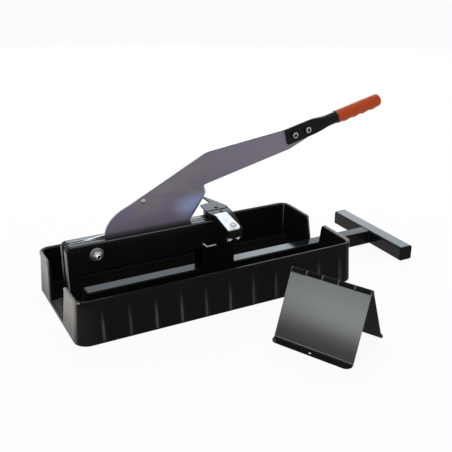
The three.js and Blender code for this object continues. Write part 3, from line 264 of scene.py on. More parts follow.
# painted light on the cheeks: their left ends paler above the tray rim with painted shade below, and painted
# highlight lines along the front cheek's outer corners
cheekHighlights = {"end": (0.15, 0.142, 0.132, 1), "line": (0.42, 0.41, 0.4, 1), "topShare": 0.6, "width": 1.3,
             "blur": 0.5, "low": 62}


def hingeShare(f, marks):
    x, y, z = f.axes()
    yaw, pitch = math.radians(hinge["yaw"]), hinge["width"] / hinge["knuckles"]
    along = (x - hinge["x"]) * math.cos(yaw) + (y - hinge["y"]) * math.sin(yaw)
    aside = abs(f.aside(along, pitch / 2, pitch))
    return f.fall(aside, marks["half"] - marks["blur"], marks["half"] + marks["blur"]) * (z > marks["low"])


def coatFinish(name, look, marks=None, cheekLight=None):
    f = Finish(name)
    cloud = f.noise(11, 4)
    peel = f.noise(look["peel"], 2)
    scuff = f.band(f.noise(1, 6, f.coords((25, 40, 120)), 0.75), 0.6, 0.8)
    base = f.mix(cloud, look["dark"], look["pale"])
    rough = look["rough"] + 0.06 * cloud + 0.13 * scuff
    sockets = {"Specular IOR Level": look["gloss"], "Normal": f.bump(peel, 0.1, 0.1)}
    if marks:
        # painted highlights at the hinge knuckle joints
        base = f.mix(hingeShare(f, marks), base, marks["colour"])
        rough = rough + 0.5 * (f.axes()[2] > marks["roughLow"])
    # painted light on the cheeks' left ends and front corners
    if cheekLight:
        base = wornCorners(f, cheekLight, base, cloud)
    if "shine" in look:
        shine = look["shine"]
        along = f.axes()[shine["axis"]]
        weight = f.band(along, shine["dim"], shine["full"], shine["low"], shine["high"])
        weight = weight - f.band(along, shine["fade"], shine["end"], 0.0, shine["less"])
        weight = weight * (along > shine["start"]) * (along < shine["end"])
        sockets.update({"Coat Weight": weight, "Coat Roughness": shine["rough"], "Coat IOR": shine["index"]})
    return f.done({**sockets, "Base Color": base, "Roughness": rough})


# cheek colour with painted light: left ends lit above the tray rim, and painted highlight lines along the
# front cheek's left and top corners
def wornCorners(f, cheekLight, base, cloud):
    low, high = boxOf("front_cheek")
    x, y, z = f.axes()
    width, blur = cheekLight["width"], cheekLight["blur"]
    leftX, topZ = low[0] + width, high[2] - width
    left = f.fall(x, low[0] + 0.4, low[0] + 0.9) * f.band(z, cheekLight["low"], cheekLight["low"] + 40)
    front = f.fall(y, cheekFront + width, cheekFront + width + blur)
    front = front * f.band(y, cheekFront - 1, cheekFront - blur)
    fromTop = f.band(z, topZ - blur, topZ) * cheekLight["topShare"]
    line = f.sum("MAXIMUM", f.fall(x, leftX, leftX + blur), fromTop) * front
    return f.mix(line, f.mix(left * (0.5 + cloud), base, cheekLight["end"]), cheekLight["line"])


# ground blade steel: long brushing, purple tints, straw in the belly, a painted blue highlight by the nose,
# bare edges that are painted paler along the top as a painted highlight
bladeSteel = {
    "steel": (0.178, 0.163, 0.196, 1),
    "purple": (0.172, 0.149, 0.222, 1),
    "straw": (0.24, 0.207, 0.206, 1),
    "blue": (0.32, 0.385, 0.66, 1),
    "sheenPlace": (0.002, 0.003, 0.178),
    "rough": 0.3,
    "strawEnd": 40,
    "bare": (0.62, 0.61, 0.63, 1), "edgeHalf": 1.85, "edgeLean": 0.29, "edgeFrom": 222.7,
    "bevelShare": 0.8, "edgeRough": 0.25,
}


def bladeFinish(name, look):
    f = Finish(name)
    drift = f.noise(6, 2)
    patch = f.noise(15, 3, f.coords((1, 1, 2.2)))
    brushed = f.noise(1, 4, f.coords((22, 300, 900), 24))
    # painted blue highlight: a soft patch round a place by the nose
    away = f.node("ShaderNodeVectorMath", {"operation": "LENGTH"}, {
        0: f.coords((9, 9, 17), 0, look["sheenPlace"])}, out=1)
    sheen = f.fall(away, 0.05, 0.6)
    tinted = f.mix(f.band(drift, 0.4, 0.62), look["steel"], look["purple"])
    x, y, z = f.axes()
    belly = f.band(x, look["strawEnd"] - 80, look["strawEnd"], 1.0, 0.1)
    warmed = f.mix(f.band(patch, 0.45, 0.72) * 0.8 * belly, tinted, look["straw"])
    # edge faces bare ground steel, paler still along the upper edge as a painted highlight
    upper = z - x * look["edgeLean"] > look["edgeFrom"]
    edge = (abs(y - lane) < look["edgeHalf"]) * (look["bevelShare"] + (1 - look["bevelShare"]) * upper)
    shaded = f.mix(sheen * 0.8, warmed, look["blue"])
    return f.done({
        "Base Color": f.mix(edge, shaded, look["bare"]),
        "Metallic": 1.0,
        "Roughness": look["rough"] + 0.14 * brushed - 0.06 * sheen + edge * look["edgeRough"],
        "Normal": f.bump(brushed, 0.12, 0.08),
    })


# bare and plated metals
barSteel = {"colour": (0.1, 0.098, 0.095, 1), "stain": (0.05, 0.048, 0.046, 1), "rough": 0.3,
            "grain": (25, 300, 800)}
zincPlate = {"colour": (0.6, 0.61, 0.64, 1), "stain": (0.36, 0.36, 0.37, 1), "rough": 0.2,
             "grain": (120, 120, 120)}
washerZinc = dict(zincPlate, colour=(0.27, 0.265, 0.27, 1), stain=(0.13, 0.125, 0.12, 1), rough=0.28)
wearZinc = dict(zincPlate, colour=(0.68, 0.7, 0.71, 1), stain=(0.52, 0.54, 0.55, 1), rough=0.4)
blackOxide = {"colour": (0.012, 0.012, 0.013, 1), "stain": (0.006, 0.006, 0.006, 1), "rough": 0.36,
              "grain": (240, 240, 240)}
cutEdge = {"colour": (0.1, 0.095, 0.19, 1), "stain": (0.03, 0.028, 0.06, 1), "bare": (0.8, 0.82, 0.86, 1),
           "rough": 0.3, "width": 2.2, "blur": 0.4}


# blued steel with bare metal along the clip's front and left edges
def clipFinish(name, look):
    f = Finish(name)
    low, high = boxOf("leg_clip")
    x, y, z = f.axes()
    leftX, frontY = low[0] + look["width"], low[1] + look["width"]
    front = f.fall(y, frontY - look["blur"], frontY)
    left = f.fall(x, leftX - look["blur"], leftX)
    top = f.band(z, high[2] - 3.5, high[2] - 2.5)
    tinted = f.mix(f.band(f.noise(90, 5), 0.4, 0.7), look["colour"], look["stain"])
    bare = f.sum("MAXIMUM", front, left) * top
    return f.done({
        "Base Color": f.mix(bare, tinted, look["bare"]),
        "Metallic": 1.0 - bare,
        "Roughness": look["rough"] + 0.12 * f.noise(300),
        "Normal": f.bump(f.noise(240), 0.12, 0.1),
    })


def metalFinish(name, look):
    f = Finish(name)
    grain = f.noise(1, 4, f.coords(look["grain"]))
    stain = f.band(f.noise(70, 5, rough=0.65), 0.45, 0.75)
    return f.done({
        "Base Color": f.mix(stain * 0.65, look["colour"], look["stain"]),
        "Metallic": 1.0,
        "Roughness": look["rough"] + 0.12 * grain + 0.12 * stain,
        "Normal": f.bump(grain, 0.12, 0.1),
    })


# dipped orange vinyl: soft ripple along the grip, pores, darker grime
gripVinyl = {"orange": (0.53, 0.074, 0.012, 1), "deep": (0.34, 0.035, 0.007, 1), "rough": 0.36, "gloss": 0.15}


def vinylFinish(name, look):
    f = Finish(name)
    cloud = f.noise(40, 4)
    ripple = f.noise(1, 3, f.coords((45, 220, 220), handleLean))
    pores = f.noise(1400, 2)
    grime = f.band(f.noise(120, 5, rough=0.7), 0.52, 0.8)
    return f.done({
        "Base Color": f.mix(cloud * 0.4 + grime * 0.4, look["orange"], look["deep"]),
        "Roughness": look["rough"] + 0.12 * grime,
        "Specular IOR Level": look["gloss"],
        "Normal": f.bump(ripple * 0.6 + pores * 0.4, 0.12, 0.2),
    })


finishes = {
    "black_plastic": plasticFinish("trayPlastic", trayPlastic, trayPaintedLight),
    "cap_plastic": plasticFinish("capPlastic", dict(trayPlastic, grain=1500, rough=0.38)),
    "black_paint": coatFinish("beamCoat", beamCoat),
    "blade_steel": bladeFinish("bladeSteel", bladeSteel),
    "bar_steel": metalFinish("barSteel", barSteel),
    "zinc": metalFinish("zincPlate", zincPlate),
    "dark_steel": metalFinish("blackOxide", blackOxide),
    "orange_grip": vinylFinish("gripVinyl", gripVinyl),
}
standFinish = coatFinish("standCoat", standCoat, hingeHighlights)
innerFinish = coatFinish("innerCoat", innerCoat, hingeHighlights)
cheekFinish = coatFinish("cheekCoat", beamCoat, cheekLight=cheekHighlights)
handleFinish = coatFinish("handleCoat", handleCoat)
tubeFinish = coatFinish("tubeCoat", tubeCoat)
crossbarFinish = coatFinish("crossbarCoat", crossbarCoat)
armFinish = coatFinish("armCoat", armCoat)
washerFinish = metalFinish("washerZinc", washerZinc)
boltFinish = metalFinish("boltZinc", dict(washerZinc, colour=(0.44, 0.44, 0.45, 1)))
wearFinish = metalFinish("wearZinc", wearZinc)
slotOf = {row["node"]: row["material_slot"] for row in frame["record"]["subparts"]}
for node, solid in frame["nodes"].items():
    solid.data.materials.clear()
    solid.data.materials.append(finishes[slotOf[node]])
print("finishes made")


def bodyOf(node):
    return next(body for body, members in frame["record"]["behaviour"]["bodies"].items() if node in members)


def linked(name, mesh):
    piece = bpy.data.objects.new(name, mesh)
    scene.collection.objects.link(piece)
    return piece


def modified(piece, kind, **settings):
    made = piece.modifiers.new(kind.lower(), kind)
    for key, value in settings.items():
        setattr(made, key, value)
    return piece


# what the modifiers show becomes the piece's own mesh
def baked(piece):
    bpy.context.view_layer.update()
    shown = piece.evaluated_get(bpy.context.evaluated_depsgraph_get())
    mesh = bpy.data.meshes.new_from_object(shown)
    piece.modifiers.clear()
    piece.data = mesh
    return piece


# corners that meet become one, then the given step is done
def reworked(mesh, reach, step):
    work = bmesh.new()
    work.from_mesh(mesh)
    bmesh.ops.remove_doubles(work, verts=work.verts, dist=reach * mm)
    step(work)
    work.to_mesh(mesh)
    work.free()


def facedOut(mesh):
    reworked(mesh, 0.001, lambda work: bmesh.ops.recalc_face_normals(work, faces=work.faces))


# triangles in one plane become one face
def flattened(mesh):
    reworked(mesh, 0.002, lambda work: bmesh.ops.dissolve_limit(
        work, angle_limit=math.radians(0.5), verts=work.verts, edges=work.edges))


# several pieces of one body and finish as one mesh
def joined(piece, others):
    work = bmesh.new()
    work.from_mesh(piece.data)
    for other in others:
        work.from_mesh(other.data)
    work.to_mesh(piece.data)
    work.free()
    for other in others:
        bpy.data.objects.remove(other)
    return piece


# skin over rings of points, its ends closed by a face, or joined to each other
def skinned(name, rings, place=None, closed=False):
    count = len(rings[0])
    faces = []
    for row in range(len(rings) if closed else len(rings) - 1):
        upper = (row + 1) % len(rings)
        for step in range(count):
            ahead = (step + 1) % count
            lower = (row * count + step, row * count + ahead)
            faces.append((*lower, upper * count + ahead, upper * count + step))
    if not closed:
        faces.append(tuple(range(count)))
        faces.append(tuple((len(rings) - 1) * count + step for step in range(count)))
    mesh = bpy.data.meshes.new(name)
    mesh.from_pydata([tuple(c * mm for c in p) for ring in rings for p in ring], [], faces)
    if place:
        mesh.transform(place)
    facedOut(mesh)
    return linked(name, mesh)


# frame whose Z runs along an axis from a place
def standing(place, axis):
    return Matrix.Translation(Vector(place) * mm) @ Vector(axis).to_track_quat("Z", "Y").to_matrix().to_4x4()


# round piece about an axis: pairs of distance along the axis and radius
def turned(name, profile, place, axis, steps=40):
    angles = [2 * math.pi * step / steps for step in range(steps)]
    rings = [[(radius * math.cos(a), radius * math.sin(a), along) for a in angles]
             for along, radius in profile]
    return skinned(name, rings, standing(place, axis))


# sine and cosine at even steps of a quarter turn
def quarter(steps, first=0):
    angles = [math.pi / 2 * step / steps for step in range(first, steps + 1)]
    return [(math.sin(a), math.cos(a)) for a in angles]


def roundOver(radius, height, round, steps=5):
    return [(height - round + round * rise, radius - round + round * reach) for rise, reach in quarter(steps)]


# round top of a turned profile, from its brim to its crown
def dome(brim, crown, radius, steps, first=0):
    arc = [(brim + (crown - brim) * rise, radius * reach) for rise, reach in quarter(steps, first)]
    return arc[:-1] + [(crown, tip)]


# point of a rounded rectangle, at a share of the way round one of its corners
def cornerPoint(index, share, halfX, halfY, round, along):
    signX, signY = ((-1, -1), (1, -1), (1, 1), (-1, 1))[index % 4]
    angle = math.pi + (index + share) * math.pi / 2
    return Vector((signX * (halfX - round) + round * math.cos(angle),
                   signY * (halfY - round) + round * math.sin(angle), along))


# thread ridges as part of a turned profile
def thread(start, end, diameter, pitch):
    profile = []
    for ridge in range(int((end - start) / pitch)):
        along = start + ridge * pitch
        profile += [(along, diameter / 2 - 0.32 * pitch), (along + 0.5 * pitch, diameter / 2)]
    return profile


# curve from start to end, drawn toward a corner
def pull(start, corner, end, steps=12):
    shares = [step / steps for step in range(steps + 1)]
    return [tuple((1 - s) ** 2 * a + 2 * s * (1 - s) * b + s * s * c for a, b, c in zip(start, corner, end))
            for s in shares]


# edges rounded, and flat faces kept flat in the light
def eased(piece, width, segments=2, angle=28):
    modified(piece, "BEVEL", width=width * mm, segments=segments, limit_method="ANGLE",
             angle_limit=math.radians(angle))
    piece.data.shade_smooth()
    return baked(modified(piece, "WEIGHTED_NORMAL", keep_sharp=True))


def smooth(piece, angle=40, flat=False):
    piece.data.shade_smooth()
    piece.data.set_sharp_from_angle(angle=math.radians(angle))
    return baked(modified(piece, "WEIGHTED_NORMAL", keep_sharp=True)) if flat else piece


# a cutter taken out of a piece, and then dropped
def cut(piece, cutter):
    baked(modified(piece, "BOOLEAN", operation="DIFFERENCE", solver="EXACT", object=cutter))
    bpy.data.objects.remove(cutter)
    return piece


def bored(piece, bore, place, axis=rearward, steps=32):
    return cut(piece, turned("bore", [(-9, bore / 2), (9, bore / 2)], place, axis, steps))


def settle(piece, nodes, finish=None):
    slot = slotOf[nodes[0]]
    piece.data.materials.clear()
    piece.data.materials.append(finish or finishes[slot])
    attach(piece, bodyOf(nodes[0]))
    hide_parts(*nodes)
    return piece


# painted shade in a hollow: a dark shallow cup just below the mouth
def greased(name, body, place, radius):
    brim, inside, middle, under = -0.4, -1, -1.1, -1.2
    profile = [(under, radius - 0.3), (brim, radius), (brim, radius - 0.5), (inside, radius * 0.6),
               (middle, tip)]
    cup = smooth(turned(name, profile, place, forward, 32))
    cup.data.materials.append(finishes["dark_steel"])
    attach(cup, body)


# a solid's own shape with its edges eased
def dressed(node, width, segments=2, angle=28, finish=None):
    piece = linked(node + "_fine", frame["nodes"][node].data.copy())
    flattened(piece.data)
    return settle(eased(piece, width, segments, angle), [node], finish)


# a geometry-node recipe with named sizes
class Recipe(NodeTree):
    def __init__(self, name):
        super().__init__(bpy.data.node_groups.new(name, "GeometryNodeTree"))
        for side in ("INPUT", "OUTPUT"):
            self.tree.interface.new_socket("Geometry", in_out=side, socket_type="NodeSocketGeometry")
        self.entry = self.tree.nodes.new("NodeGroupInput")
        self.start = Value(self, self.entry.outputs[0])

    # named size inputs: whole numbers where they count something, and else lengths
    def sizes(self, *names):
        for name in names:
            kind = "Int" if name in ("Count", "Ripples") else "Float"
            self.tree.interface.new_socket(name, in_out="INPUT", socket_type="NodeSocket" + kind)
        return [Value(self, self.entry.outputs[name]) for name in names]

    def vector(self, x=0.0, y=0.0, z=0.0):
        return self.node("ShaderNodeCombineXYZ", sockets={0: x, 1: y, 2: z})

    def position(self):
        return self.split(self.node("GeometryNodeInputPosition"))

    def moved(self, body, rise):
        return self.node("GeometryNodeTransform", sockets={
            "Geometry": body, "Translation": self.vector(z=rise)})

    def cylinder(self, radius, depth, foot, steps=40):
        body = self.node("GeometryNodeMeshCylinder", sockets={
            "Vertices": steps, "Radius": radius, "Depth": depth})
        return self.moved(body, foot + depth * 0.5)

    def cone(self, foot, top, depth, rise, steps=48):
        body = self.node("GeometryNodeMeshCone", sockets={
            "Vertices": steps, "Radius Bottom": foot, "Radius Top": top, "Depth": depth})
        return self.moved(body, rise)

    def without(self, body, cutter):
        settings = {"operation": "DIFFERENCE", "solver": "EXACT"}
        return self.node("GeometryNodeMeshBoolean", settings, {0: body, 1: cutter})

    def shared(self, body, other):
        settings = {"operation": "INTERSECT", "solver": "EXACT"}
        return self.node("GeometryNodeMeshBoolean", settings, {1: [body, other]})

    def together(self, bodies):
        return self.node("GeometryNodeJoinGeometry", sockets={0: bodies})

    def placed(self, points, body):
        return self.node("GeometryNodeInstanceOnPoints", sockets={"Points": points, "Instance": body})

    def done(self, body, finish):
        real = self.node("GeometryNodeRealizeInstances", sockets={0: body})
        dress = self.node("GeometryNodeSetMaterial", sockets={0: real, "Material": finish})
        self.node("NodeGroupOutput", sockets={0: dress})
        return self


# a mesh put through a recipe, then through a place
def grown(name, mesh, recipe, sizes, place=None):
    piece = linked(name, mesh)
    shaping = piece.modifiers.new("recipe", "NODES")
    shaping.node_group = recipe.tree
    for item in recipe.tree.interface.items_tree:
        if item.name in sizes:
            counted = item.socket_type == "NodeSocketInt"
            shaping[item.identifier] = int(sizes[item.name]) if counted else sizes[item.name] * mm
    baked(piece)
    if place:
        piece.data.transform(place)
        facedOut(piece.data)
    return piece


# one fastener at each place: the recipe draws it standing on Z, and the axis turns it
def fastened(name, recipe, sizes, places, axis):
    turn = standing((0, 0, 0), axis)
    mesh = bpy.data.meshes.new(name)
    mesh.from_pydata([turn.inverted() @ (Vector(p) * mm) for p in places], [], [])
    return smooth(grown(name, mesh, recipe, sizes, turn), 30)


cornerShare = 0.5774  # a hexagon's reach to its corners, from its width across the flats


# socket screw: chamfered head with a hexagon socket, and its shank
def screwRecipe():
    r = Recipe("socketScrew")
    head, height, socket = r.sizes("Head", "Height", "Socket")
    shank, depth, chamfer = r.sizes("Shank", "Depth", "Chamfer")
    wall = r.cylinder(head * 0.5, height, 0.0)
    reach = height + head * 0.5 - chamfer
    blank = r.shared(wall, r.cone(reach, 0.0, reach, 0.0))
    well = r.cylinder(socket * cornerShare, height, height * 0.45, 6)
    shaft = r.cylinder(shank * 0.5, depth, 0.0 - depth)
    return r.done(r.placed(r.start, r.together([r.without(blank, well), shaft])), finishes["dark_steel"])


# hexagon head or nut with chamfered corners, on a washer, with a bore or recess and a rod below
def hexRecipe():
    r = Recipe("hexFastener")
    width, height, bore, recess = r.sizes("Across", "Height", "Bore", "Recess")
    washer, plate, rod, depth = r.sizes("Washer", "Plate", "Rod", "Depth")
    prism = r.cylinder(width * cornerShare, height, 0.0, 6)
    blank = r.shared(prism, r.cone(width * 0.47 + height * 1.7, width * 0.47, height, 0.0))
    head = r.without(blank, r.cylinder(bore * 0.5, height * 3.0, height - recess))
    disc = r.cylinder(washer * 0.5, plate, 0.0 - plate, 48)
    shaft = r.cylinder(rod * 0.5, depth, 0.0 - depth)
    return r.done(r.placed(r.start, r.together([head, disc, shaft])), finishes["zinc"])


# hinge knuckles in a row along X, each with the tab that joins it to its leaf
def knuckleRecipe():
    r = Recipe("hingeKnuckles")
    count, first, pitch = r.sizes("Count", "First", "Pitch")
    outer, length, plate, tab = r.sizes("Outer", "Length", "Plate", "Tab")
    row = r.node("GeometryNodeMeshLine", sockets={
        "Count": count, "Start Location": r.vector(first), "Offset": r.vector(pitch)})
    barrel = r.cylinder(outer * 0.5, length, length * -0.5)
    lying = r.node("GeometryNodeTransform", sockets={"Geometry": barrel, "Rotation": (0, math.pi / 2, 0)})
    leafTab = r.node("GeometryNodeMeshCube", sockets={"Size": r.vector(length, plate, tab)})
    seated = r.node("GeometryNodeTransform", sockets={
        "Geometry": leafTab, "Translation": r.vector(0.0, (outer - plate) * 0.5, tab * 0.5)})
    return r.done(r.placed(row, r.together([lying, seated])), standFinish)


# weld ripples one after another round a square
def weldRecipe():
    r = Recipe("weldRipples")
    side, bead, ripples = r.sizes("Side", "Bead", "Ripples")
    path = r.node("GeometryNodeCurvePrimitiveQuadrilateral", sockets={"Width": side, "Height": side})
    rounded = r.node("GeometryNodeFilletCurve", sockets={"Curve": path, "Radius": bead * 2.0})
    spots = r.node("GeometryNodeCurveToPoints", sockets={"Curve": rounded, "Count": ripples})
    drop = r.node("GeometryNodeMeshIcoSphere", sockets={"Radius": bead, "Subdivisions": 2})
    return r.done(r.placed(spots, drop), finishes["black_paint"])


# bulges down the tray's long walls, from just above the ground and fading out below the rim
def fluteRecipe():
    r = Recipe("trayFlutes")
    first, pitch, half, count = r.sizes("First", "Pitch", "HalfWidth", "Count")
    depth, top, wall, foot = r.sizes("Depth", "Top", "Wall", "Foot")
    x, y, z = r.position()
    away = r.sum("MINIMUM", abs(r.aside(x, first, pitch) / half), 1.0)
    swell = r.sum("COSINE", away * (math.pi / 2))
    rise = r.sum("MAXIMUM", 1.0 - z / top, 0.0)
    start = r.sum("MINIMUM", z / foot, 1.0)
    push = r.vector(0.0, r.sum("SIGN", y) * depth * start * (rise ** 0.5) * swell * swell)
    inRow = abs((x - first) / pitch - (count - 1.0) * 0.5) < count * 0.5
    body = r.node("GeometryNodeSetPosition", sockets={
        "Geometry": r.start, "Selection": (abs(y) > wall) * inRow, "Offset": push})
    return r.done(body, finishes["black_plastic"])


# finger ridges under the grip, drawn along X with its underside toward -Z
def ridgeRecipe():
    r = Recipe("gripRidges")
    start, span, height, count = r.sizes("Start", "Span", "Height", "Count")
    x, y, z = r.position()
    along = r.node("ShaderNodeClamp", sockets={0: (x - start) / span})
    wave = r.sum("SINE", along * count * math.pi)
    radius = (y * y + z * z) ** 0.5 + 0.00001
    under = r.sum("MAXIMUM", (0.0 - z) / radius, 0.0)
    push = r.vector(0.0, 0.0, 0.0 - height * wave * wave * under * under)
    body = r.node("GeometryNodeSetPosition", sockets={"Geometry": r.start, "Offset": push})
    return r.done(body, finishes["orange_grip"])


screws = screwRecipe()
hexes = hexRecipe()


# sizes of a hexagon head or nut, where a washer or rod that it lacks is a thin disc within its outline
def hexSizes(across, height, bore, recess, washer, rod, depth=0.1, plate=0.1):
    return {"Across": across, "Height": height, "Bore": bore, "Recess": recess, "Washer": washer,
            "Plate": plate, "Rod": rod, "Depth": depth}


print("recipes made")


# tray: one loft from the ground up over the rolled rim and down to the floor, its flutes, then the end slots
tray = {
    "halfLength": 300, "halfWidth": 136.5, "height": trayHeight, "flare": trayFlare, "corner": 22,
    "wall": 5, "draft": 4.5, "floor": 6, "floorRound": 5, "footEdge": ((-1.2, 0), (-0.4, 0.3)),
    "outerAt": (1.2, 6, 12, 18, 24, 30, 36, 42, 48, 54, 60, 66, 73, 80.4), "innerAt": (70, 50, 30, 18),
    "bead": 1.8, "beadHeight": 7, "beadShape": 0.6, "beadOut": 0.2, "beadSteps": 8,
    "lip": ((-1.5, 0), (-3.6, 0.2), (-4.6, 0.8), (-5, 2)), "overrun": 20,
    "sideSteps": 264, "endSteps": 12, "cornerSteps": 12, "slotEdge": 1.3,
    "left": {"mouth": 73, "neck": 58, "foot": leftSlotFoot}, "right": {"mouth": 43.5, "neck": 28, "foot": 20},
    "shoulder": 20, "footRound": 6, "mouthRise": 2, "sill": 5, "slotFrom": 284.5,
    "flutes": {"First": fluteFirst, "Pitch": flutePitch, "HalfWidth": 9, "Count": 11, "Depth": 3, "Top": 66,
               "Wall": 134.5, "Foot": 6},
}


def trayRing(out, z, corner):
    outline = (tray["halfLength"] + out, tray["halfWidth"] + out, corner, z)
    steps = tray["cornerSteps"]
    ring = []
    for index in range(4):
        ring += [cornerPoint(index, step / steps, *outline) for step in range(steps + 1)]
        parts = tray["endSteps"] if index % 2 else tray["sideSteps"]
        start, end = ring[-1], cornerPoint(index + 1, 0, *outline)
        ring += [start.lerp(end, part / parts) for part in range(1, parts)]
    return [tuple(p) for p in ring]


def wallAt(z):
    return -tray["wall"] - tray["draft"] * (1 - z / tray["height"])


def trayShell():
    height, flare, floor, round = tray["height"], tray["flare"], tray["floor"], tray["floorRound"]
    rise = tray["beadHeight"] / 2
    outer = [(flare + out, z) for out, z in tray["footEdge"]]
    outer += [(flare * (1 - z / height), z) for z in tray["outerAt"]]
    for step in range(tray["beadSteps"] + 1):
        angle = math.pi * (step / tray["beadSteps"] - 0.5)
        swell = tray["bead"] * abs(math.cos(angle)) ** tray["beadShape"]
        outer.append((swell + tray["beadOut"], height - rise + rise * math.sin(angle)))
    inner = [(out, height - drop) for out, drop in tray["lip"]]
    inner += [(wallAt(z), z) for z in (*tray["innerAt"], floor + round)]
    inner += [(wallAt(floor) - round * (1 - reach), floor + round * (1 - sink))
              for sink, reach in quarter(5, 1)]
    return skinned("trayShell", [
        trayRing(out, z, tray["corner"] + max(out, -tray["wall"])) for out, z in outer + inner])


def slotCutter(sizes, xFrom, xTo):
    foot, round = tray["sill"], tray["footRound"]
    neck = tray["height"] - tray["shoulder"]
    mouth = tray["height"] + tray["mouthRise"]
    half = [(sizes["mouth"], mouth + tray["overrun"])]
    half += pull((sizes["mouth"], mouth), (sizes["neck"], mouth), (sizes["neck"], neck))
    half += pull((sizes["foot"], foot + round), (sizes["foot"], foot), (sizes["foot"] - round, foot), 8)
    outline = [(lane - y, z) for y, z in half] + [(lane + y, z) for y, z in reversed(half)]
    return skinned("slotCutter", [[(x, y, z) for y, z in outline] for x in (xFrom, xTo)])


def makeTray():
    shell = trayShell()
    mesh = shell.data
    bpy.data.objects.remove(shell)
    piece = grown("traySmooth", mesh, fluteRecipe(), tray["flutes"])
    near, far = tray["slotFrom"], tray["slotFrom"] + 2 * tray["overrun"]
    cut(piece, slotCutter(tray["left"], -far, -near))
    cut(piece, slotCutter(tray["right"], near, far))
    flattened(piece.data)
    settle(eased(piece, tray["slotEdge"], 3, 50), ["tray"])


makeTray()
print("tray made")


# stabiliser: square tube with rolled corners, crossbar, caps, and the weld where they meet
stabiliser = {
    "side": 32, "wall": 2, "round": 3.5, "innerRound": 2, "edge": 0.3, "seat": 6.3,
    "leftX": -242, "rightX": 445, "barX": 461.3, "frontY": -120.5, "rearY": 126.5,
    "capFace": 3, "capPlug": 12, "capRound": 1, "capEdge": 0.2, "lead": 1, "leadIn": 0.6,
    "weld": {"Side": 31, "Bead": 1.5, "Ripples": 92}, "weldInset": 0.6,
}


# square rings with round corners, one after another: half width, corner and place along the axis
def squareRings(rows, steps=7):
    return [[tuple(cornerPoint(index, step / steps, half, half, round, along))
             for index in range(4) for step in range(steps + 1)] for half, round, along in rows]


def squareTube(node, place, axis, length, finish):
    s = stabiliser
    half, edge, round = s["side"] / 2, s["edge"], s["round"]
    inner = half - s["wall"]
    rings = squareRings([
        (half - edge, round, 0), (half, round, edge), (half, round, length - edge),
        (half - edge, round, length), (inner, s["innerRound"], length), (inner, s["innerRound"], 0)])
    tube = skinned(node + "_rolled", rings, standing(place, axis), True)
    settle(smooth(tube, 50, True), [node], finish)


def endCap(node, place, axis):
    s = stabiliser
    half, round, inRound = s["side"] / 2, s["round"], s["innerRound"]
    plug = half - s["wall"] - gap
    rings = squareRings([
        (plug - s["leadIn"], inRound, -s["capPlug"]), (plug, inRound, s["lead"] - s["capPlug"]),
        (plug, inRound, 0), (half - s["capEdge"], round, 0), (half, round, s["capEdge"]),
        *[(reach, round, along) for along, reach in roundOver(half, s["capFace"], s["capRound"], 4)],
        (half * 0.5, round, s["capFace"])])
    settle(smooth(skinned(node + "_moulded", rings, standing(place, axis)), 50, True), [node])


def makeStabiliser():
    s = stabiliser
    z = s["seat"] + s["side"] / 2
    squareTube("stabiliser_tube", (s["leftX"], lane, z), rightward, s["rightX"] - s["leftX"], tubeFinish)
    squareTube("stabiliser_crossbar", (s["barX"], s["frontY"], z), rearward, s["rearY"] - s["frontY"],
               crossbarFinish)
    endCap("tube_cap", (s["leftX"] - gap, lane, z), (-1, 0, 0))
    endCap("crossbar_front_cap", (s["barX"], s["frontY"] - gap, z), forward)
    endCap("crossbar_rear_cap", (s["barX"], s["rearY"] + gap, z), rearward)
    weld = grown("weldBead", bpy.data.meshes.new("weldBead"), weldRecipe(), s["weld"],
                 standing((s["rightX"] - s["weldInset"], lane, z), rightward))
    smooth(weld)
    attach(weld, "stabiliser")


makeStabiliser()
print("stabiliser made")


# shear beam: formed cheeks, bars, spacers, foot screws and the pivot
beam = {
    "edge": 0.6, "barEdge": 0.35, "spacerEdge": 0.8, "sleeveEdge": 0.3,
    "footX": (-268.75, 41), "footY": 31, "footTop": 10.6,
    "screw": {"Head": 9, "Height": 3, "Socket": 3, "Shank": 5, "Depth": 8.7, "Chamfer": 0.6},
}
pivot = {
    "x": -221.5, "z": 120.5, "frontY": cheekFront, "rearY": 2 * lane - cheekFront,
    "bolt": 10, "pitch": 1.25, "threadFrom": -8, "root": 0.4,
    "washer": 28, "plate": 2.2, "washerBore": 10.6, "washerEdge": 0.4, "washerRound": 0.8,
    "sinkWide": 1.1, "sinkDeep": 0.5, "nut": 9, "crown": 13, "crownRound": 1.4, "mouth": 11.2, "proud": 4,
    "hollow": 6.4, "hollowDepth": 7,
    "hex": hexSizes(across=17, height=6.75, bore=10.3, recess=8.75, washer=10.4, rod=10.2),
    "head": hexSizes(across=17, height=6.5, bore=9, recess=0.5, washer=9, rod=9, depth=1, plate=0.2),
}


def makeBeam():
    for node in ("front_cheek", "rear_cheek"):
        dressed(node, beam["edge"], 2, 40, cheekFinish)
    for node in ("front_shear_bar", "rear_shear_bar"):
        dressed(node, beam["barEdge"], 2, 40)
    for node in ("end_spacer", "nose_spacer"):
        dressed(node, beam["spacerEdge"])
    places = [(x, lane + side * beam["footY"], beam["footTop"]) for x in beam["footX"] for side in (-1, 1)]
    feet = fastened("footScrews", screws, beam["screw"], places, upward)
    settle(feet, ["foot_screw_" + end + "_" + leg for end in ("front", "rear") for leg in ("left", "right")])


def pivotWasher(node, y, axis):
    p = pivot
    half, plate, bore, edge = p["washer"] / 2, p["plate"], p["washerBore"] / 2, p["washerEdge"]
    profile = [(0, bore), (0, half - edge), (edge, half), *roundOver(half, plate, p["washerRound"]),
               (plate, bore + p["sinkWide"]), (plate - p["sinkDeep"], bore)]
    disc = turned(node + "_turned", profile, (p["x"], y, p["z"]), axis, 56)
    settle(smooth(disc, 50), [node], washerFinish)


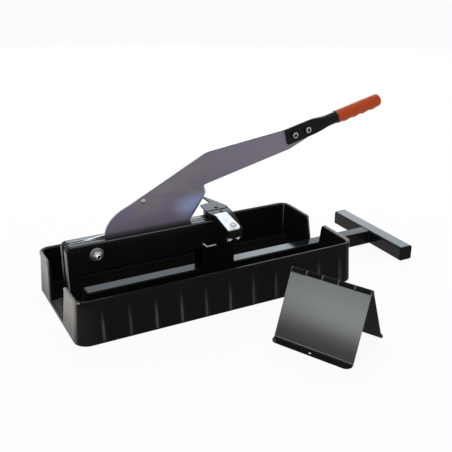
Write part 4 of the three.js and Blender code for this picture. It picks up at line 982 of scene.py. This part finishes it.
def makePivot():
    p = pivot
    pivotWasher("pivot_washer_front", p["frontY"], forward)
    pivotWasher("pivot_washer_rear", p["rearY"], rearward)
    seat = (p["x"], p["frontY"] - p["plate"] - gap, p["z"])
    rearSeat = (p["x"], p["rearY"] + p["plate"] + gap, p["z"])
    nut = fastened("pivotNut", hexes, p["hex"], [seat], forward)
    foot, bore, around = p["hex"]["Height"] - 0.6, p["hex"]["Bore"] / 2, p["crown"] / 2
    crown = turned("pivotCrown", [
        (foot, bore), (foot, around), *roundOver(around, p["nut"], p["crownRound"]),
        (p["nut"], p["mouth"] / 2), (p["nut"] - p["sinkDeep"], bore)], seat, forward, 48)
    settle(joined(nut, [smooth(crown, 50)]), ["pivot_nut"])
    end, radius, hollow = p["nut"] + p["proud"], p["bolt"] / 2, p["hollow"] / 2
    core = radius - p["root"]
    bolt = turned("pivotBolt", [
        (seat[1] - rearSeat[1], core), *thread(p["threadFrom"], end - 0.8, p["bolt"], p["pitch"]),
        (end - 0.6, core), (end, radius - 1), (end, hollow + 0.3), (end - 0.4, hollow),
        (end - p["hollowDepth"], hollow - 0.2)], seat, forward, 48)
    head = fastened("pivotHead", hexes, p["head"], [rearSeat], rearward)
    settle(joined(smooth(bolt, 35), [head]), ["pivot_bolt"])
    # painted shade in the bolt's hollow end
    greased("pivotHollowShade", "base", (seat[0], seat[1] - end, seat[2]), hollow - 0.1)
    for node in ("pivot_bush", "pivot_sleeve_front", "pivot_sleeve_rear"):
        dressed(node, beam["sleeveEdge"])


makeBeam()
makePivot()
print("beam made")


# blade, as distances from the pivot: heel, back, shoulder, tail, arm, notch, nose and cutting edge
blade = {
    "plate": 4, "heel": 31, "backFoot": (25, 29), "backPull": (30, 62.5), "backHead": (77.8, 81),
    "shoulder": (246.4, 166), "tailTop": (487, 197), "tailFoot": (490, 166.6), "armFoot": (442.6, 145.9),
    "notch": (238.8, 97.5), "tip": (246, 83.4), "nose": (238.4, 67.7), "knee": (201, 15.5),
    "edgeFront": (187, 3), "edgeHeel": (29, -25), "rounds": (7, 6, 7, 6), "bevel": 6, "land": 1, "ease": 0.3,
    "pivotBore": 16.3, "boltBore": 8.3, "studBore": 5.3,
    "stud": (107.1, 85), "studShank": 4.8, "studDepth": 8, "studHead": 10.5, "studRim": 0.6, "studCap": 10.2,
    "studDome": 2.6, "studNut": hexSizes(across=8, height=4, bore=5, recess=0.4, washer=6, rod=4.6),
}
handle = {
    "x": 211.9, "y": -1.8, "z": 293.9, "bolts": (16.5, 49.5), "length": 240, "tube": 25.4,
    "flatWidth": 35.2, "flatPlate": 5, "flatLength": 60, "flatSquareness": 8, "swage": 46, "swageSteps": 18,
    "steps": 72, "edge": 0.4, "endInset": 3,
    "washer": 16, "washerPlate": 1.6, "washerBore": 8.4, "washerEdge": 0.3, "washerRound": 0.5,
    "head": hexSizes(across=11.6, height=5, bore=7.6, recess=3.4, washer=9, rod=7.8, depth=18),
    "nut": hexSizes(across=13, height=6.5, bore=8.2, recess=0.7, washer=8.4, rod=7.8),
}
grip = {
    "start": 125.5, "length": 118, "outer": 28.4, "nose": 9, "noseShape": 0.8, "bore": 26, "steps": 110,
    "ridges": {"Start": 9.4, "Span": 96.8, "Height": 2.2, "Count": 4},
}


def cornerArc(before, corner, after, radius):
    middle = Vector(corner)
    back = middle + (Vector(before) - middle).normalized() * radius
    ahead = middle + (Vector(after) - middle).normalized() * radius
    return pull(tuple(back), corner, tuple(ahead), 10)


def bladeOutline(inset):
    b = blade
    shoulderRound, notchRound, tipRound, tailRound = b["rounds"]
    tip = (b["tip"][0] - inset, b["tip"][1])
    nose = (b["nose"][0] - inset, b["nose"][1] + inset / 2)
    knee = (b["knee"][0] - inset, b["knee"][1] + inset / 2)
    heelStart = math.atan2(b["edgeHeel"][1], b["edgeHeel"][0])
    heelTurn = math.pi + math.atan2(b["backFoot"][1], b["backFoot"][0]) + heelStart
    heel = [(b["heel"] * math.cos(heelStart - heelTurn * step / 36),
             b["heel"] * math.sin(heelStart - heelTurn * step / 36)) for step in range(1, 37)]
    return [
        *pull(b["backFoot"], b["backPull"], b["backHead"], 24),
        *cornerArc(b["backHead"], b["shoulder"], b["tailTop"], shoulderRound),
        *cornerArc(b["shoulder"], b["tailTop"], b["tailFoot"], tailRound),
        *cornerArc(b["tailTop"], b["tailFoot"], b["armFoot"], tailRound),
        b["armFoot"],
        *cornerArc(b["armFoot"], b["notch"], tip, notchRound),
        *cornerArc(b["notch"], tip, nose, tipRound),
        *cornerArc(tip, nose, knee, tipRound),
        knee,
        (b["edgeFront"][0] - inset / 2, b["edgeFront"][1] + inset),
        (b["edgeHeel"][0], b["edgeHeel"][1] + inset),
        *heel,
    ]


def handlePlace(along):
    lean = math.radians(handleLean)
    return handle["x"] + along * math.cos(lean), handle["z"] + along * math.sin(lean)


def makeBlade():
    half = blade["plate"] / 2
    rings = []
    for offset, inset in ((half, 0), (half - blade["land"], 0), (-half, blade["bevel"])):
        rings.append([(pivot["x"] + x, lane + offset, pivot["z"] + z) for x, z in bladeOutline(inset)])
    piece = skinned("bladePlate", rings)
    studX, studZ = pivot["x"] + blade["stud"][0], pivot["z"] + blade["stud"][1]
    holes = [(pivot["x"], pivot["z"], blade["pivotBore"]), (studX, studZ, blade["studBore"])]
    holes += [(*handlePlace(along), blade["boltBore"]) for along in handle["bolts"]]
    for x, z, bore in holes:
        bored(piece, bore, (x, lane, z))
    flattened(piece.data)
    settle(eased(piece, blade["ease"], 2, 24), ["blade"])
    shank, rim, head = blade["studShank"] / 2, blade["studRim"], blade["studHead"] / 2
    profile = [(-blade["studDepth"], shank), (0, shank), (0, head), (rim, head),
               *dome(rim, blade["studDome"], blade["studCap"] / 2, 8, 1)]
    knob = turned("bladeStud", profile, (studX, lane - half - gap, studZ), forward)
    settle(smooth(knob), ["blade_stud"], boltFinish)
    nut = fastened("studNut", hexes, blade["studNut"], [(studX, lane + half + gap, studZ)], rearward)
    settle(nut, ["blade_stud_nut"])


makeBlade()
print("blade made")


# ring round the handle, a circle at squareness 2 and close to a rectangle at 8
def handleRing(along, halfWidth, halfPlate, squareness=2):
    angles = [2 * math.pi * step / handle["steps"] for step in range(handle["steps"])]

    def spread(share):
        return math.copysign(abs(share) ** (2 / squareness), share)

    return [(along, spread(math.sin(a)) * halfPlate, spread(math.cos(a)) * halfWidth) for a in angles]


def handleFrame(along=0):
    x, z = handlePlace(along)
    turn = Matrix.Rotation(-math.radians(handleLean), 4, "Y")
    return Matrix.Translation(Vector((x, handle["y"], z)) * mm) @ turn


# flat at the blade, swaged out to a round tube
def makeHandle():
    h = handle
    places = [handlePlace(along) for along in h["bolts"]]
    square = h["flatSquareness"]
    rings = [handleRing(0, h["flatWidth"] / 2, h["flatPlate"] / 2, square)]
    for step in range(h["swageSteps"] + 1):
        share = step / h["swageSteps"]
        ease = share * share * (3 - 2 * share)
        rings.append(handleRing(
            h["flatLength"] + share * h["swage"],
            (h["flatWidth"] + (h["tube"] - h["flatWidth"]) * ease) / 2,
            (h["flatPlate"] + (h["tube"] - h["flatPlate"]) * ease) / 2,
            square + (2 - square) * math.sqrt(ease),
        ))
    rings.append(handleRing(h["length"] - h["endInset"], h["tube"] / 2, h["tube"] / 2))
    tube = skinned("handleTube", rings, handleFrame())
    for x, z in places:
        bored(tube, blade["boltBore"], (x, h["y"], z))
    flattened(tube.data)
    settle(eased(tube, h["edge"], 2, 45), ["handle_tube"], handleFinish)
    half, plate, bore, edge = h["washer"] / 2, h["washerPlate"], h["washerBore"] / 2, h["washerEdge"]
    frontY = h["y"] - h["flatPlate"] / 2 - gap
    seatY = frontY - plate - h["head"]["Plate"]
    profile = [(0, bore), (0, half - edge), *roundOver(half, plate, h["washerRound"]), (plate, bore)]
    for index, (x, z) in enumerate(places, 1):
        disc = turned("handleWasher", profile, (x, frontY, z), forward, 48)
        settle(smooth(disc, 50), ["handle_washer_" + str(index)], handleFinish)
    heads = fastened("handleBolts", hexes, h["head"], [(x, seatY, z) for x, z in places], forward)
    settle(heads, ["handle_bolt_1", "handle_bolt_2"], boltFinish)
    for index, (x, z) in enumerate(places, 1):
        mouth = (x, seatY - h["head"]["Height"], z)
        # painted shade in the bolt head's bore
        greased("boltHollowShade" + str(index), "blade_lever", mouth, h["head"]["Bore"] / 2 - 0.1)
    nutY = lane + blade["plate"] / 2 + gap
    nuts = fastened("handleNuts", hexes, h["nut"], [(x, nutY, z) for x, z in places], rearward)
    settle(nuts, ["handle_nut_1", "handle_nut_2"])


# orange sleeve with a round nose and finger ridges
def makeGrip():
    radius = grip["outer"] / 2
    plain = grip["length"] - grip["nose"] - 2
    profile = [(1.5, grip["bore"] / 2), (0.4, grip["bore"] / 2 + 0.2), (0, radius - 1.1), (0.3, radius - 0.3),
               (1.2, radius)]
    profile += [(2 + plain * step / grip["steps"], radius) for step in range(grip["steps"] + 1)]
    profile += [(grip["length"] - grip["nose"] * (1 - rise), max(tip, radius * reach ** grip["noseShape"]))
                for rise, reach in quarter(12, 1)]
    sleeve = skinned("gripSleeve", [handleRing(along, around, around) for along, around in profile])
    mesh = sleeve.data
    bpy.data.objects.remove(sleeve)
    dipped = grown("dippedGrip", mesh, ridgeRecipe(), grip["ridges"], handleFrame(grip["start"]))
    settle(smooth(dipped, 50), ["grip"])


makeHandle()
makeGrip()
print("handle made")


# fence arms, wear plate, clamp and clip on the beam's right end
fence = {
    "armEdge": 0.7, "plateEdge": 0.45, "clipEdge": 0.4, "leftX": 24, "top": 158, "reach": 81, "drop": 18,
    "flat": 33, "screwX": 52, "screwOffset": 12,
    "screw": {"Head": 9.5, "Height": 3, "Socket": 6.4, "Shank": 5, "Depth": 20, "Chamfer": 0.6},
    "wearScrew": {"inset": 15, "offset": 28, "base": 2.6, "rim": 14, "rimHeight": 1.2, "head": 10,
                  "headHeight": 2.4, "headRound": 1.7, "shank": 4.6, "depth": 11.4, "recess": 1.8},
    "clamp": {"inset": 9, "drop": 39, "seat": 17, "end": 40, "bolt": 5, "core": 4.4, "pitch": 0.8, "nutAt": 31,
              "head": hexSizes(across=10, height=5, bore=5, recess=0.5, washer=5, rod=4.6, depth=0.2),
              "nut": hexSizes(across=10, height=4.6, bore=5.2, recess=6, washer=5.3, rod=5.3)},
    "rivet": {"head": 6, "crown": 1.6, "rim": 0.4, "shank": 3, "depth": 6.4},
}


def makeWearScrew():
    w = fence["wearScrew"]
    slope = math.atan2(fence["drop"], fence["reach"] - fence["flat"])
    up = (0, -math.sin(slope), math.cos(slope))
    reach = fence["reach"] - w["inset"]
    foot = (fence["leftX"] + w["offset"], lane - reach,
            fence["top"] - (reach - fence["flat"]) * math.tan(slope))
    base, rim, head, shank = w["base"], w["rim"] / 2, w["head"] / 2, w["shank"] / 2
    ledge = base + w["rimHeight"]
    top = ledge + w["headHeight"]
    well = top - w["recess"]
    profile = [(-w["depth"], shank), (base, shank), (base, rim - 0.3), (base + 0.4, rim), (ledge, rim - 0.3),
               (ledge - 0.4, head + 0.5), (ledge, head), *roundOver(head, top, w["headRound"]),
               (top, shank + 0.3), (well, shank), (well, 0.3)]
    settle(smooth(turned("wearScrew", profile, foot, up, 48), 45), ["wear_plate_screw"])


def makeClamp():
    c = fence["clamp"]
    y, z = lane - fence["reach"] + c["inset"], fence["top"] - c["drop"]
    seat = (fence["leftX"] + c["seat"], y, z)
    length, core = c["end"] - c["seat"], c["core"] / 2
    head = fastened("clampHead", hexes, c["head"], [seat], (-1, 0, 0))
    profile = [(0, core), *thread(0.5, length - 0.6, c["bolt"], c["pitch"]), (length - 0.5, core),
               (length, core - 0.5)]
    rod = turned("clampRod", profile, seat, rightward, 32)
    settle(joined(head, [smooth(rod, 35)]), ["clamp_bolt"])
    nut = fastened("clampNut", hexes, c["nut"], [(fence["leftX"] + c["nutAt"], y, z)], rightward)
    settle(nut, ["clamp_nut"])


def makeFence():
    for node in ("front_fence_arm", "rear_fence_arm"):
        dressed(node, fence["armEdge"], 3, finish=armFinish)
    dressed("wear_plate", fence["plateEdge"], 2, 20, wearFinish)
    dressed("leg_clip", fence["clipEdge"], finish=clipFinish("clipSteel", cutEdge))
    seat = fence["top"] - fence["screw"]["Height"]
    tops = [(fence["screwX"], lane + side * fence["screwOffset"], seat) for side in (-1, 1)]
    pair = fastened("armScrews", screws, fence["screw"], tops, upward)
    settle(pair, ["front_arm_screw", "rear_arm_screw"])
    low, high = boxOf("leg_clip_rivet")
    r = fence["rivet"]
    place = ((low[0] + high[0]) / 2, low[1] + r["crown"], (low[2] + high[2]) / 2)
    profile = [(-r["depth"], r["shank"] / 2), (0, r["shank"] / 2), (0, r["head"] / 2),
               *dome(r["rim"], r["crown"], r["head"] / 2, 6)]
    settle(smooth(turned("clipRivet", profile, place, forward, 32)), ["leg_clip_rivet"])


makeFence()
makeWearScrew()
makeClamp()
print("fence made")


# stand: two leaves bent out at the ground, curled round a pin by knuckles
stand = {
    **hinge, "height": 124, "spread": 53.5, "plate": 2, "flange": 14, "flangeRound": 12, "bend": 4.5,
    "hole": 6, "knuckle": 9, "tab": 6, "lap": 4.4, "edge": 0.4, "columns": 8, "pin": 4.4, "pinHead": 7.5,
}


def standFrame():
    yaw = math.radians(stand["yaw"])
    along = Vector((math.cos(yaw), math.sin(yaw), 0))
    out = Vector((-math.sin(yaw), math.cos(yaw), 0))
    return Vector((stand["x"], stand["y"], 0)), along, out, stand["height"] - stand["knuckle"] / 2


# middle line of a leaf from the hinge down and out along the ground, with its half width at each place
def leafPath(axisZ, tilt):
    s = stand
    middle, half = s["knuckle"] / 2 - s["plate"] / 2, s["width"] / 2
    down = Vector((math.sin(tilt), -math.cos(tilt)))
    start = Vector((middle * math.cos(tilt), axisZ + middle * math.sin(tilt))) + down * s["lap"]
    drop = (axisZ + middle * math.sin(tilt) - s["plate"] / 2) / math.cos(tilt)
    corner = Vector((drop * math.sin(tilt) + middle * math.cos(tilt), s["plate"] / 2))
    outerLength = (axisZ + s["knuckle"] / 2 * math.sin(tilt)) / math.cos(tilt)
    end = outerLength * math.sin(tilt) + s["knuckle"] / 2 * math.cos(tilt) + s["flange"]
    before, after = corner - down * s["bend"], (corner[0] + s["bend"], corner[1])
    path = [(tuple(start), half)] + [(p, half) for p in pull(tuple(before), tuple(corner), after, 8)]
    for rise, reach in quarter(10):
        p = end - s["flangeRound"] * (1 - rise)
        if p > after[0] + 0.2:
            path.append(((p, s["plate"] / 2), half - s["flangeRound"] * (1 - reach)))
    return path, end


def makeLeaf(side, node):
    s = stand
    centre, along, out, axisZ = standFrame()
    tilt = math.atan2(s["spread"], axisZ)
    path, end = leafPath(axisZ, tilt)
    columns = s["columns"]
    points, faces = [], []
    for (p, z), reach in path:
        for column in range(columns + 1):
            u = reach * (2 * column / columns - 1)
            points.append(tuple((centre + along * u + out * side * p + Vector((0, 0, z))) * mm))
    for row in range(len(path) - 1):
        for a in range(row * (columns + 1), row * (columns + 1) + columns):
            faces.append((a, a + 1, a + columns + 2, a + columns + 1))
    mesh = bpy.data.meshes.new(node)
    mesh.from_pydata(points, [], faces)
    plate = linked(node + "_bent", mesh)
    baked(modified(plate, "SOLIDIFY", thickness=s["plate"] * mm, offset=0, use_even_offset=True))
    facedOut(plate.data)
    bored(plate, s["hole"], centre + out * side * (end - s["flange"] / 2), upward, 40)
    flattened(plate.data)
    leaf = out * side
    place = Matrix((
        (along.x, leaf.x * math.cos(tilt), leaf.x * math.sin(tilt), centre.x * mm),
        (along.y, leaf.y * math.cos(tilt), leaf.y * math.sin(tilt), centre.y * mm),
        (0, math.sin(tilt), -math.cos(tilt), axisZ * mm),
        (0, 0, 0, 1),
    ))
    pitch = s["width"] / s["knuckles"]
    first = 0 if side < 0 else 1
    knuckles = grown("knuckles", bpy.data.meshes.new("knuckles"), knuckleRecipe(), {
        "Count": (s["knuckles"] + 1) // 2 - first, "First": (first + 0.5) * pitch - s["width"] / 2,
        "Pitch": 2 * pitch, "Outer": s["knuckle"], "Length": pitch - gap, "Plate": s["plate"], "Tab": s["tab"],
    }, place)
    finish = standFinish if side < 0 else innerFinish
    settle(eased(joined(plate, [knuckles]), s["edge"], 2, 40), [node], finish)


def makeStandPin():
    centre, along, out, axisZ = standFrame()
    half, head, pin = stand["width"] / 2, stand["pinHead"] / 2, stand["pin"] / 2
    end = [(half + 0.3, pin), (half + 0.4, head), (half + 1.1, head - 0.2), (half + 1.8, head - 0.9),
           (half + 1.9, 0.3)]
    profile = [(-x, radius) for x, radius in reversed(end)] + end
    settle(smooth(turned("hingePin", profile, centre + Vector((0, 0, axisZ)), along, 32)), ["stand_hinge_pin"])


makeLeaf(-1, "stand_front_leaf")
makeLeaf(1, "stand_rear_leaf")
makeStandPin()
print("stand made")


# camera at the photograph's place
view = {"place": (-0.58372, -1.25924, 0.70507), "pitch": 67.515, "yaw": -27.368, "focal": 724.94, "frame": 452}
lens = bpy.data.cameras.new("camera")
lens.sensor_width = 36
lens.lens = view["focal"] / view["frame"] * lens.sensor_width
camera = linked("camera", lens)
camera.location = view["place"]
camera.rotation_euler = (math.radians(view["pitch"]), 0, math.radians(view["yaw"]))
scene.camera = camera


# soft light: a panel on the left, a large cool one behind, and a weak one overhead
panels = {
    "leftPanel": {"place": (-2.35, -0.4, 1.15), "size": (0.8, 0.9), "aim": (0.1, -0.35, 0.06), "level": 4.8,
                  "colour": (0.92, 1.0, 0.98)},
    "backPanel": {"place": (1.4, 2.3, 1.5), "size": (3.4, 1.9), "aim": (0.1, 0, 0.05), "level": 3.6,
                  "colour": (0.77, 0.9, 1.0)},
    "topPanel": {"place": (0, -0.4, 2.6), "size": (2.2, 2.2), "aim": (0, 0, 0), "level": 0.8,
                 "colour": (1, 1, 1)},
}
for name, panel in panels.items():
    lamp = bpy.data.lights.new(name, "AREA")
    lamp.shape = "RECTANGLE"
    lamp.size, lamp.size_y = panel["size"]
    lamp.energy = panel["level"] * math.pi * panel["size"][0] * panel["size"][1]
    lamp.color = panel["colour"]
    holder = linked(name, lamp)
    holder.location = panel["place"]
    holder.rotation_euler = (Vector(panel["aim"]) - Vector(panel["place"])).to_track_quat("-Z", "Y").to_euler()
    holder.visible_camera = False


# pale floor and white surroundings, seen by the camera and in reflections; the floor keeps a soft shadow
studio = {"floor": 14, "drop": 0.2, "pale": (0.88, 0.88, 0.88, 1), "toEye": 0.93,
          "soft": (0.95, 0.97, 1.0, 1), "level": 0.55}


def seen(tree):
    paths = [tree.node("ShaderNodeLightPath", out=name) for name in (
        "Is Camera Ray", "Is Glossy Ray", "Is Transmission Ray")]
    return tree.sum("MAXIMUM", paths[0], tree.sum("MAXIMUM", paths[1], paths[2]))


reach, level = studio["floor"] / 2, -studio["drop"] * mm
corners = [(x * reach, y * reach, level) for x, y in ((-1, -1), (1, -1), (1, 1), (-1, 1))]
floorMesh = bpy.data.meshes.new("floor")
floorMesh.from_pydata(corners, [], [(0, 1, 2, 3)])
floor = linked("floor", floorMesh)
f = Finish("paleFloor")
matt = f.node("ShaderNodeBsdfDiffuse", sockets={"Color": studio["pale"]})
glow = f.node("ShaderNodeEmission", sockets={"Color": (1, 1, 1, 1), "Strength": 1.0})
both = f.node("ShaderNodeMixShader", sockets={0: seen(f) * studio["toEye"], 1: matt, 2: glow})
f.node("ShaderNodeOutputMaterial", sockets={"Surface": both})
floorMesh.materials.append(f.holder)

world = bpy.data.worlds.new("studio")
scene.world = world
w = Finish("studio", world)
white = w.node("ShaderNodeBackground", sockets={"Color": (1, 1, 1, 1), "Strength": 1.0})
soft = w.node("ShaderNodeBackground", sockets={"Color": studio["soft"], "Strength": studio["level"]})
w.node("ShaderNodeOutputWorld", sockets={
    "Surface": w.node("ShaderNodeMixShader", sockets={0: seen(w), 1: soft, 2: white})})
scene.view_settings.view_transform = "Standard"
print("stage, light and camera set")
